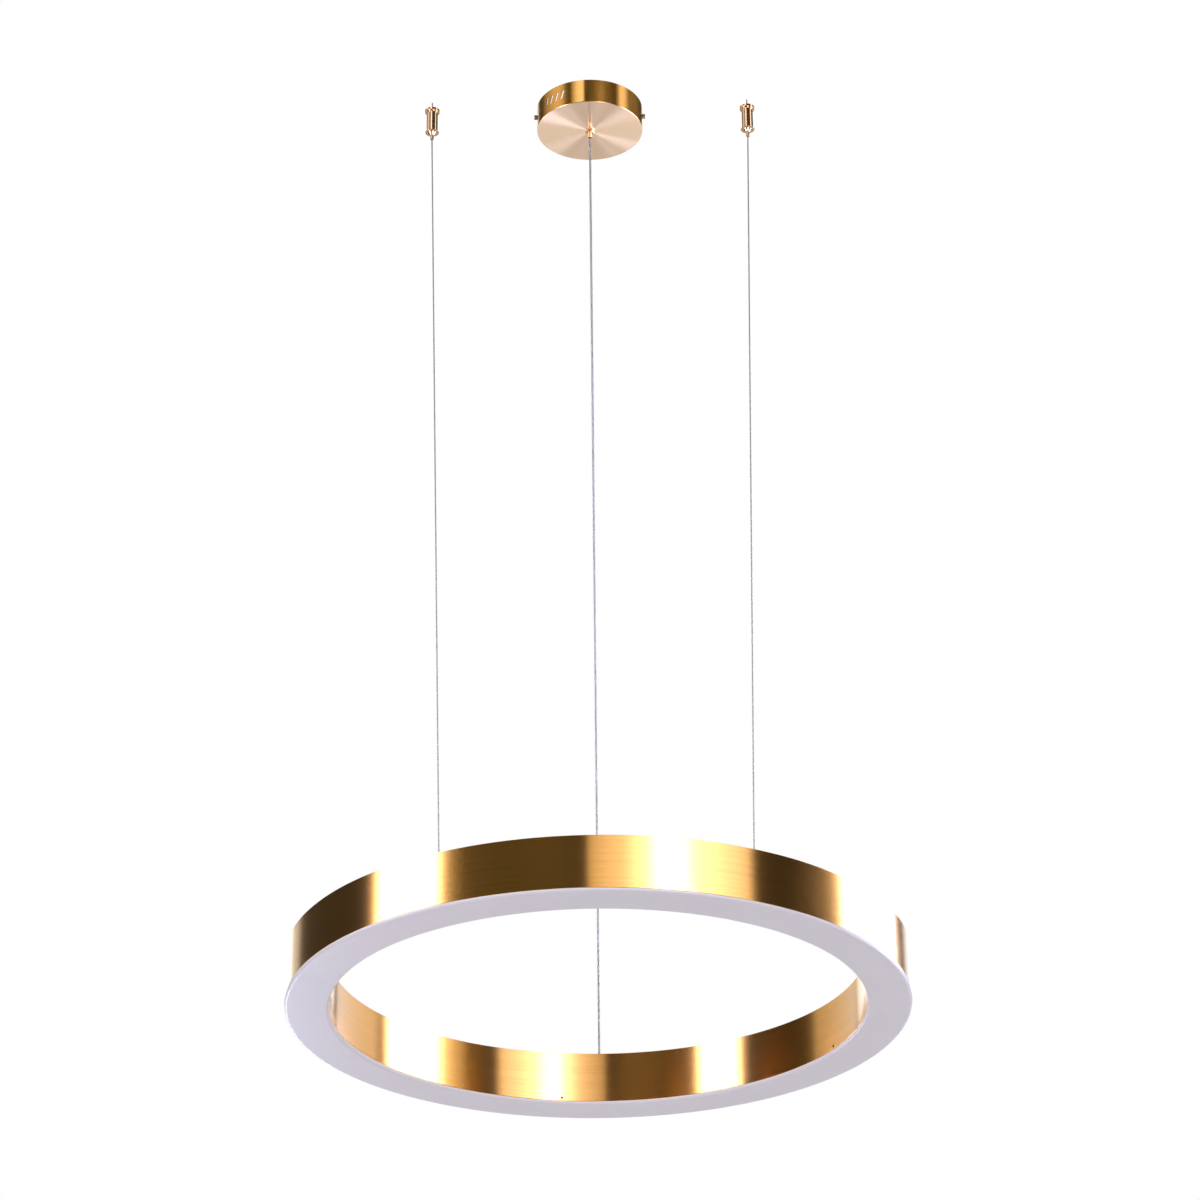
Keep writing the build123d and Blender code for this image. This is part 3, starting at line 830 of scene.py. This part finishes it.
class CHANDELIER_OT_diffuser(bpy.types.Operator):
    """Build the opal tray that closes the ring from below"""

    bl_idname = "chandelier.diffuser"
    bl_label = "Diffuser"

    def execute(self, context):
        sizes = context.scene.chandelier_diffuser
        housing = context.scene.chandelier_housing
        bottom, flange_top = level("diffuser_tray", 0), level("diffuser_tray", 1)
        lip_top, floor_top = bottom + sizes.lip_height, bottom + sizes.floor
        outside = housing.outer_radius
        inside = outside - housing.section_width
        step = housing.sheet + sizes.flange_gap
        outline = [
            (outside, bottom),
            (outside, lip_top),
            (outside - step, lip_top),
            (outside - step, flange_top),
            (outside - step - sizes.flange, flange_top),
            (outside - step - sizes.flange, floor_top),
            (inside + step + sizes.flange, floor_top),
            (inside + step + sizes.flange, flange_top),
            (inside + step, flange_top),
            (inside + step, lip_top),
            (inside, lip_top),
            (inside, bottom),
        ]
        shape = turned(outline, housing.steps)

        def is_lower_edge(edge):
            return max(v.co.z for v in edge.verts) < bottom + TINY

        round_edges(shape, sizes.lip_rounding, 8, where=is_lower_edge)
        tray = make_piece(shape, "opal_tray", "diffuser", finish_for("opal_diffuser"), ["diffuser_tray"])
        even_shading(tray)
        return {"FINISHED"}


class CHANDELIER_OT_grippers(bpy.types.Operator):
    """Build the two turned cable grippers"""

    bl_idname = "chandelier.grippers"
    bl_label = "Cable grippers"

    def execute(self, context):
        for side, _ in SIDES:
            self.build(context.scene.chandelier_grippers, side)
        return {"FINISHED"}

    def build(self, sizes, side):
        """One gripper from the CAD nodes of that side."""
        low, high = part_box(f"gripper_cap_{side}")
        x = (low.x + high.x) / 2
        ceiling = high.z
        barrel_bottom, cap_bottom = level(f"gripper_barrel_{side}", 0), level(f"gripper_barrel_{side}", 1)
        collar_bottom, collar_top = level(f"gripper_collar_{side}", 0), level(f"gripper_collar_{side}", 1)
        mouth, plunger_top = level(f"gripper_plunger_{side}", 0), level(f"gripper_plunger_{side}", 1)
        flange_bottom = barrel_bottom - sizes.collar_thickness
        bore = sizes.barrel_radius - sizes.barrel_wall
        spigot = bore - sizes.play
        hole = sizes.nozzle_radius + sizes.play
        stop_bottom = collar_top + sizes.play
        stop_top = stop_bottom + sizes.stop_thickness
        stop_radius = reach(f"gripper_plunger_{side}")
        outlines = {
            "cap": [
                (sizes.rope_bore, ceiling),
                (sizes.cap_radius, ceiling),
                (sizes.cap_radius, cap_bottom),
                (spigot, cap_bottom),
                (spigot, low.z),
                (sizes.rope_bore, low.z),
            ],
            "barrel": [
                (bore, cap_bottom),
                (sizes.barrel_radius, cap_bottom),
                (sizes.barrel_radius, barrel_bottom),
                (bore, barrel_bottom),
            ],
            "collar": [
                (hole, collar_top),
                (spigot, collar_top),
                (spigot, barrel_bottom),
                (sizes.collar_radius, barrel_bottom),
                (sizes.collar_radius, flange_bottom),
                (sizes.cone_radius, flange_bottom),
                (sizes.cone_tip, collar_bottom),
                (hole, collar_bottom),
            ],
            "plunger": [
                (sizes.rope_bore, mouth),
                (sizes.nozzle_radius, mouth),
                (sizes.nozzle_radius, stop_bottom),
                (stop_radius, stop_bottom),
                (stop_radius, stop_top),
                (sizes.nozzle_radius, stop_top),
                (sizes.nozzle_radius, plunger_top),
                (sizes.rope_bore, plunger_top),
            ],
        }
        brass = finish_for("polished_brass")
        for part, outline in outlines.items():
            body = f"plunger_{side}" if part == "plunger" else "ceiling_fixings"
            shape = turned(outline, GRIPPER_STEPS, x)
            round_edges(shape, sizes.rounding, corner=25)
            piece = make_piece(shape, f"turned_{part}_{side}", body, brass, [f"gripper_{part}_{side}"])
            if part == "cap":
                cut_away(piece, self.screw_holes(sizes, x, ceiling))
            even_shading(piece)
        self.wind_spring(sizes, side, x)

    def wind_spring(self, sizes, side, x, sides=10, per_turn=32):
        """Coil spring between the jaw and the cap, built at its resting length; the piece stays fixed when
        the plunger moves.
        """
        node = f"gripper_spring_{side}"
        low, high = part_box(node)
        length = high.z - low.z
        ring = reach(node) - sizes.spring_wire
        end = sizes.spring_wire + sizes.play
        steps = per_turn * sizes.spring_turns
        place = Matrix.Translation((x + ring, 0, low.z + end)) @ Matrix.Rotation(pi / 2, 4, "X")
        shape = bmesh.new()
        bmesh.ops.create_circle(shape, segments=sides, radius=sizes.spring_wire, matrix=place)
        bmesh.ops.spin(
            shape,
            geom=shape.verts[:] + shape.edges[:],
            cent=(x, 0, 0),
            axis=(0, 0, 1),
            dvec=(0, 0, (length - 2 * end) / steps),
            angle=2 * pi * sizes.spring_turns,
            steps=steps,
        )
        close_ends(shape)
        wire = finish_for("spring_steel")
        spring = make_piece(shape, f"coil_spring_{side}", "ceiling_fixings", wire, [node])
        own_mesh(spring)

    def screw_holes(self, sizes, x, ceiling):
        """Two bores in the cap for its screws into the ceiling."""
        shape = bmesh.new()
        for _, sign in SIDES:
            place = Matrix.Translation((x + sign * sizes.screw_place, 0, ceiling))
            add_bore(shape, sizes.screw_bore, 0.04, place)
        return shape


class CHANDELIER_OT_canopy(bpy.types.Operator):
    """Build the brushed canopy cup with its leaning vents"""

    bl_idname = "chandelier.canopy"
    bl_label = "Canopy"

    def execute(self, context):
        sizes = context.scene.chandelier_canopy
        top, bottom = level("canopy_cup", 1), level("canopy_cup", 0)
        inside, floor = sizes.radius - sizes.wall, bottom + sizes.wall
        outline = [
            (sizes.gland_hole, bottom),
            (sizes.radius, bottom),
            (sizes.radius, top),
            (inside, top),
            (inside, floor),
            (sizes.gland_hole, floor),
        ]
        shape = turned(outline, CANOPY_STEPS)

        def is_lower_edge(edge):
            return all(v.co.z < bottom + TINY and v.co.xy.length > inside for v in edge.verts)

        round_edges(shape, sizes.rounding, 4, where=is_lower_edge)
        round_edges(shape, sizes.rim_rounding, 2, corner=60)
        cup = make_piece(
            shape, "brushed_canopy", "ceiling_fixings", finish_for("brushed_brass"), ["canopy_cup"]
        )
        cut_away(cup, self.openings(sizes))
        even_shading(cup)
        return {"FINISHED"}

    def openings(self, sizes):
        """Cutters for the row of vents and for the two thumb screws."""
        shape = bmesh.new()
        slot = self.vent_cutter(sizes)
        for vent in range(sizes.vents):
            angle = sizes.vent_middle + (vent - (sizes.vents - 1) / 2) * sizes.vent_step
            place = (
                Matrix.Rotation(angle, 4, "Z")
                @ Matrix.Translation((0, -sizes.radius, -sizes.vent_depth))
                @ Matrix.Rotation(sizes.vent_lean, 4, "Y")
            )
            shape.from_mesh(slot)
            bmesh.ops.transform(shape, matrix=place, verts=shape.verts[-len(slot.vertices) :])
        bpy.data.meshes.remove(slot)
        for side, sign in SIDES:
            low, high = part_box(f"thumb_screw_{side}")
            place = Matrix.Translation((sign * sizes.radius, (low.y + high.y) / 2, (low.z + high.z) / 2))
            add_bore(shape, sizes.screw_hole, 6 * sizes.wall, place @ Matrix.Rotation(pi / 2, 4, "Y"))
        return shape

    def vent_cutter(self, sizes):
        """Upright slot with round ends, which goes right through a wall that faces the viewer."""
        shape = bmesh.new()
        size = Matrix.Diagonal((sizes.vent_width, 6 * sizes.wall, sizes.vent_length, 1))
        bmesh.ops.create_cube(shape, matrix=size)
        through = [edge for edge in shape.edges if abs(edge.verts[0].co.y - edge.verts[1].co.y) > sizes.wall]
        end = sizes.vent_width / 2
        bmesh.ops.bevel(
            shape, geom=through, offset=end, affect="EDGES", segments=12, profile=0.5, material=-1
        )
        bmesh.ops.remove_doubles(shape, verts=shape.verts, dist=TINY)
        return finished_mesh(shape, "slot")


class CHANDELIER_OT_thumb_screws(bpy.types.Operator):
    """Build the two knurled screws that hold the canopy"""

    bl_idname = "chandelier.thumb_screws"
    bl_label = "Thumb screws"

    def execute(self, context):
        sizes = context.scene.chandelier_canopy
        for side, sign in SIDES:
            node = f"thumb_screw_{side}"
            low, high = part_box(node)
            outer = high.x if side == "right" else low.x
            shape = self.knurled(sizes, reach(node, 1), high.x - low.x)
            place = Matrix.Translation((outer, (low.y + high.y) / 2, (low.z + high.z) / 2))
            turn = Matrix.Rotation(sign * pi / 2, 4, "Y")
            bmesh.ops.transform(shape, matrix=place @ turn, verts=shape.verts)
            screw = make_piece(shape, f"knurled_screw_{side}", node, finish_for("dark_brass"), [node])
            even_shading(screw)
        return {"FINISHED"}

    def knurled(self, sizes, radius, length):
        """Screw along Z with the head's face at the origin and the shank below."""
        head_bottom = -sizes.screw_head
        start = radius - sizes.screw_chamfer
        shape = bmesh.new()
        bmesh.ops.create_circle(shape, cap_ends=True, segments=2 * sizes.knurls, radius=start)
        end = shape.faces[:]
        height = 0
        for ring_radius, ring_height in (
            (radius, -sizes.screw_chamfer),
            (radius, head_bottom + sizes.screw_chamfer),
            (radius - sizes.screw_chamfer, head_bottom),
            (sizes.screw_thread, head_bottom),
            (sizes.screw_thread, sizes.thread_end - length),
            (sizes.screw_thread - sizes.thread_end, -length),
        ):
            made = bmesh.ops.extrude_face_region(shape, geom=end)["geom"]
            end = [part for part in made if isinstance(part, bmesh.types.BMFace)]
            ring = [part for part in made if isinstance(part, bmesh.types.BMVert)]
            bmesh.ops.scale(shape, vec=(ring_radius / start, ring_radius / start, 1), verts=ring)
            bmesh.ops.translate(shape, vec=(0, 0, ring_height - height), verts=ring)
            start, height = ring_radius, ring_height
        tooth = pi / sizes.knurls
        rim = [v for v in shape.verts if v.co.xy.length > radius - sizes.knurl_depth]
        valleys = [v for v in rim if round(atan2(v.co.y, v.co.x) / tooth) % 2]
        deeper = 1 - sizes.knurl_depth / radius
        bmesh.ops.scale(shape, vec=(deeper, deeper, 1), verts=valleys)
        bmesh.ops.recalc_face_normals(shape, faces=shape.faces)
        return shape


class CHANDELIER_OT_ropes(bpy.types.Operator):
    """Lay the two twisted steel ropes, and their ends in the grippers"""

    bl_idname = "chandelier.ropes"
    bl_label = "Steel ropes"

    def execute(self, context):
        sizes = context.scene.chandelier_cables
        steel = finish_for("steel_rope")
        strands = (sizes.rope_radius, sizes.rope_strands, sizes.rope_radius / 3, sizes.rope_lay, True)
        for side, sign in SIDES:
            route = cable_route(
                f"rope_route_{side}",
                [
                    (sign * 0.225, 0, -0.05),
                    (sign * 0.22469, -0.00296, -0.06156),
                    (sign * 0.19155, -0.31635, -1.28682),
                    (sign * 0.19124, -0.31931, -1.29838),
                ],
            )
            points = route_points(route)
            shape = twisted(points[0], points[-1], *strands)
            rope = make_piece(shape, f"steel_rope_{side}", "ring", steel, [f"cable_{side}"])
            # The end reaches a little into the rope, so no gap shows when the ring swings.
            node = f"rope_end_{side}"
            x, y, _ = middle(node)
            low = Vector((x, y, level(node, 0) - sizes.rope_radius))
            high = Vector((x, y, level(node, 1)))
            shape = twisted(low, high, *strands)
            make_piece(shape, f"steel_rope_end_{side}", "ceiling_fixings", steel, [node])
        return {"FINISHED"}


class CHANDELIER_OT_cord(bpy.types.Operator):
    """Lay the clear supply cord with its twisted wires"""

    bl_idname = "chandelier.cord"
    bl_label = "Supply cord"

    def execute(self, context):
        sizes = context.scene.chandelier_cables
        curve = cable_route(
            "cord_sleeve",
            [(0, 0, -0.05), (0, 0.00515, -0.06724), (0, 0.36739, -1.28121), (0, 0.3725, -1.29835)],
        )
        points = route_points(curve)
        curve.bevel_depth = sizes.cord_radius
        curve.bevel_resolution = 5
        curve.use_fill_caps = True
        curve.materials.append(finish_for("clear_sleeve"))
        cord = add_object("cord_sleeve", curve)
        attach(cord, "ring")
        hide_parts("cable_centre")
        wire = sizes.wire_radius
        shape = twisted(points[0], points[-1], 2 * wire, 2, wire, sizes.wire_lay, sides=12, per_turn=16)
        wires = make_piece(shape, "cord_wires", "ring", finish_for("steel_rope"))
        return {"FINISHED"}


# --- Studio -----------------------------------------------------------------------------------

CAMERA_SIDESTEP = 0.0075
CAMERA_REACH = 200
FLOOR_REACH = 40
BEHIND = (-0.087, 0.996, 0.0)  # level direction in which the backdrop is brightest
BACKDROP_GLOW, ROOM_GLOW, TOP_GLOW, FLOOR_GLOW = 1.4, 0.055, 0.6, 0.62
SOFT_LIGHT = 0.79  # what surfaces without gloss get from all sides
ROOM_TINT = (1.0, 0.95, 0.75, 1.0)
WARM_TINT, COOL_TINT = Vector((1.0, 0.98, 0.62)), Vector((0.95, 1.0, 1.5))
FULL_WHITE = 2.2  # radiance from which a panel has the cool tint
SOFTBOX_POWER, SOFTBOX_SIZE = 60.0, 3.0
SOFTBOX_PLACE, SOFTBOX_AIM = Vector((-1.0, -3.2, 1.4)), Vector((0, 0, -1.3))
RING_BAND = (-1.7, -0.2)

# Soft panels, anticlockwise as seen from above.  Each has a name, two lower corners, its lower
# and upper height, its radiance, and how the radiance changes along it, as (place, share) pairs.
PANELS = (
    ("left_panel", (-1.163, -0.32), (-1.0, -0.87), RING_BAND, 9.0,
     ((0, 0.1), (0.06, 0.3), (0.12, 1), (0.9, 1), (0.95, 0.25), (1, 0.1))),
    ("front_left_panel", (-1.0, -0.9), (-0.12, -2.0), RING_BAND, 0.07, ((0, 1), (0.4, 0.6), (1, 0.25))),
    ("front_panel", (-0.1, -2.0), (1.14, -0.96), RING_BAND, 9.0,
     ((0, 0.1), (0.28, 0.19), (0.44, 0.4), (0.5, 1), (0.62, 1), (0.7, 0.4), (0.85, 0.26), (1, 0.17))),
    ("right_warm_panel", (0.773, -0.2245), (1.256, -0.174), RING_BAND, 1.0, ((0, 0.6), (0.5, 1), (1, 1))),
    ("right_panel", (1.142, -0.139), (1.0, 0.556), RING_BAND, 8.0,
     ((0, 0.15), (0.05, 0.6), (0.1, 1), (1, 1))),
    ("right_back_panel", (0.777, 0.624), (0.5, 1.95), RING_BAND, 1.0, ((0, 1), (1, 1))),
    ("left_back_panel", (-0.75, 1.9), (-1.015, 0.629), RING_BAND, 0.8, ((0, 1), (0.6, 1), (1, 0.75))),
    ("low_back_panel", (-0.6, 1.7), (-1.15, 1.3), (-2.2, -1.5), 6.0, ((0, 1), (1, 1))),
    ("upper_left_panel", (-1.2, 0.55), (-1.3, -0.9), (0.3, 1.6), 1.0, ((0, 0.3), (0.5, 1), (1, 0.4))),
    ("upper_front_panel", (-0.95, -1.2), (-0.32, -1.5), (0.3, 1.8), 2.2, ((0, 0.25), (0.6, 1), (1, 1))),
    ("upper_right_panel", (1.3, -0.6), (1.45, -0.05), (0.3, 1.6), 1.8, ((0, 1), (0.7, 1), (1, 0.3))),
)


class CHANDELIER_OT_studio(bpy.types.Operator):
    """Set the camera, the floor and the studio lights"""

    bl_idname = "chandelier.studio"
    bl_label = "Studio"

    def execute(self, context):
        scene = context.scene
        settings = scene.chandelier_studio
        lens = bpy.data.cameras.new("camera")
        lens.lens = settings.lens
        lens.clip_end = CAMERA_REACH
        scene.camera = add_object("camera", lens)
        scene.camera.location = (CAMERA_SIDESTEP, -settings.distance, -settings.drop)
        aim = Matrix.Rotation(pi / 2 + settings.pitch, 3, "X") @ Matrix.Rotation(settings.roll, 3, "Z")
        scene.camera.rotation_euler = aim.to_euler()
        scene.view_settings.view_transform = "Standard"
        self.lay_floor(settings)
        self.light_backdrop(scene, settings)
        for panel in PANELS:
            self.hang_panel(settings, *panel)
        self.hang_softbox(settings)
        return {"FINISHED"}

    def lay_floor(self, settings):
        """Plain pale floor, far below the lamp, that a camera under it sees through."""
        shape = bmesh.new()
        place = Matrix.Translation((0, 0, -settings.floor_drop))
        bmesh.ops.create_grid(shape, x_segments=1, y_segments=1, size=FLOOR_REACH, matrix=place)
        mesh = finished_mesh(shape, "floor")
        tree, shader = start_finish("Pale floor", "stage", Base_Color=(0.8, 0.8, 0.8, 1), Roughness=0.9)
        below = add_node(tree, "NewGeometry").outputs["Backfacing"]
        tree.links.new(calculate(tree, "SUBTRACT", 1.0, below), shader.inputs["Alpha"])
        mesh.materials.append(finish_for("stage"))
        floor = add_object("floor", mesh)
        floor.visible_glossy = False

    def light_backdrop(self, scene, settings):
        """White behind the lamp and dim elsewhere, so that the metal has both to reflect."""
        scene.world = bpy.data.worlds.new("studio")
        scene.world.use_nodes = True
        tree = scene.world.node_tree
        tree.nodes.clear()
        parts = split(tree, add_node(tree, "TexCoord").outputs["Generated"])
        sideways = vector_result(tree, "NORMALIZE", 0, combine(tree, parts[0], parts[1]))
        behind = vector_result(tree, "DOT_PRODUCT", "Value", sideways, _1=BEHIND)
        back = fade(tree, behind, 0.9, 0.94, "SMOOTHSTEP")
        rear = fade(tree, behind, 0.1, 0.6)
        upward = fade(tree, parts[2], 0.75, 0.98, "SMOOTHSTEP")
        downward = fade(tree, parts[2], -0.1, -0.3, "SMOOTHSTEP")
        raised = fade(tree, parts[2], -0.1, 0.1, "SMOOTHSTEP")
        white = calculate(tree, "MULTIPLY", back, raised)
        glow = calculate(tree, "MULTIPLY_ADD", white, BACKDROP_GLOW, ROOM_GLOW)
        glow = calculate(tree, "MULTIPLY_ADD", upward, TOP_GLOW, glow)
        glow = calculate(tree, "MULTIPLY_ADD", calculate(tree, "MULTIPLY", downward, rear), FLOOR_GLOW, glow)
        paths = add_node(tree, "LightPath").outputs
        for path, wanted in (("Is Diffuse Ray", SOFT_LIGHT), ("Is Camera Ray", 1.0)):
            change = calculate(tree, "SUBTRACT", wanted, glow)
            glow = calculate(tree, "MULTIPLY_ADD", paths[path], change, glow)
        warmth = calculate(tree, "MULTIPLY", paths["Is Glossy Ray"], calculate(tree, "SUBTRACT", 1.0, back))
        tint = blend_colours(tree, warmth, WHITE, ROOM_TINT)
        strength = calculate(tree, "MULTIPLY", glow, settings.strength)
        light = add_node(tree, "Background", Color=tint, Strength=strength)
        add_node(tree, "OutputWorld", Surface=light.outputs[0])

    def hang_panel(self, settings, name, start, end, heights, radiance, shares):
        """Upright area light that faces the lamp's axis; the camera doesn't see it."""
        start, end = Vector(start), Vector(end)
        low, high = heights
        light = bpy.data.lights.new(name, "AREA")
        light.shape = "RECTANGLE"
        light.size = (end - start).length
        light.size_y = high - low
        light.energy = radiance * pi * light.size * light.size_y * settings.strength
        light.use_nodes = True
        tree = light.node_tree
        place = split(tree, add_node(tree, "NewGeometry").outputs["Parametric"])[0]
        ramp = add_node(tree, "ValToRGB", Fac=place)
        while len(ramp.color_ramp.elements) < len(shares):
            ramp.color_ramp.elements.new(1)
        for element, (position, share) in zip(ramp.color_ramp.elements, shares):
            element.position = position
            element.color = solid(WARM_TINT.lerp(COOL_TINT, min(1, share * radiance / FULL_WHITE)) * share)
        tree.links.new(ramp.outputs[0], tree.nodes["Emission"].inputs["Color"])
        place = (start + end) / 2
        along = (end - start).normalized()
        panel = add_object(name, light)
        panel.location = (place.x, place.y, (low + high) / 2)
        panel.rotation_euler = Vector((-along.y, along.x, 0)).to_track_quat("-Z", "Y").to_euler()
        panel.visible_camera = False
        panel.visible_diffuse = False

    def hang_softbox(self, settings):
        """Broad soft light from above the viewer, which the metal doesn't mirror."""
        light = bpy.data.lights.new("softbox", "AREA")
        light.size = SOFTBOX_SIZE
        light.energy = SOFTBOX_POWER * settings.strength
        softbox = add_object("softbox", light)
        softbox.location = SOFTBOX_PLACE
        softbox.rotation_euler = (SOFTBOX_AIM - SOFTBOX_PLACE).to_track_quat("-Z", "Y").to_euler()
        softbox.visible_camera = False
        softbox.visible_glossy = False


PIECE_OPERATORS = (
    CHANDELIER_OT_finishes,
    CHANDELIER_OT_soft_edges,
    CHANDELIER_OT_housing,
    CHANDELIER_OT_diffuser,
    CHANDELIER_OT_grippers,
    CHANDELIER_OT_canopy,
    CHANDELIER_OT_thumb_screws,
    CHANDELIER_OT_ropes,
    CHANDELIER_OT_cord,
    CHANDELIER_OT_studio,
)
SETTING_GROUPS = {
    "chandelier_housing": HousingSizes,
    "chandelier_diffuser": DiffuserSizes,
    "chandelier_grippers": GripperSizes,
    "chandelier_canopy": CanopySizes,
    "chandelier_cables": CableSizes,
    "chandelier_colours": FinishColours,
    "chandelier_studio": StudioSettings,
}


class CHANDELIER_PT_pieces(bpy.types.Panel):
    """Lists the chandelier's sizes and the operators that build it"""

    bl_label = "Ring Chandelier"
    bl_space_type = "VIEW_3D"
    bl_region_type = "UI"
    bl_category = "Chandelier"

    def draw(self, context):
        layout = self.layout
        for operator in PIECE_OPERATORS:
            layout.operator(operator.bl_idname)
        for attribute, group in SETTING_GROUPS.items():
            box = layout.box()
            box.label(text=group.__doc__)
            settings = getattr(context.scene, attribute)
            for name in group.__annotations__:
                box.prop(settings, name)


def register():
    for attribute, group in SETTING_GROUPS.items():
        bpy.utils.register_class(group)
        setattr(bpy.types.Scene, attribute, bpy.props.PointerProperty(type=group))
    for shown in (*PIECE_OPERATORS, CHANDELIER_PT_pieces):
        bpy.utils.register_class(shown)


def unregister():
    for shown in (CHANDELIER_PT_pieces, *reversed(PIECE_OPERATORS)):
        bpy.utils.unregister_class(shown)
    for attribute, group in SETTING_GROUPS.items():
        delattr(bpy.types.Scene, attribute)
        bpy.utils.unregister_class(group)


def main():
    """Builds the whole lamp."""
    register()
    bpy.ops.chandelier.finishes()
    bpy.ops.chandelier.soft_edges()
    bpy.ops.chandelier.housing()
    bpy.ops.chandelier.diffuser()
    bpy.ops.chandelier.grippers()
    bpy.ops.chandelier.canopy()
    bpy.ops.chandelier.thumb_screws()
    bpy.ops.chandelier.ropes()
    bpy.ops.chandelier.cord()
    bpy.ops.chandelier.studio()


if __name__ == "__main__":
    main()
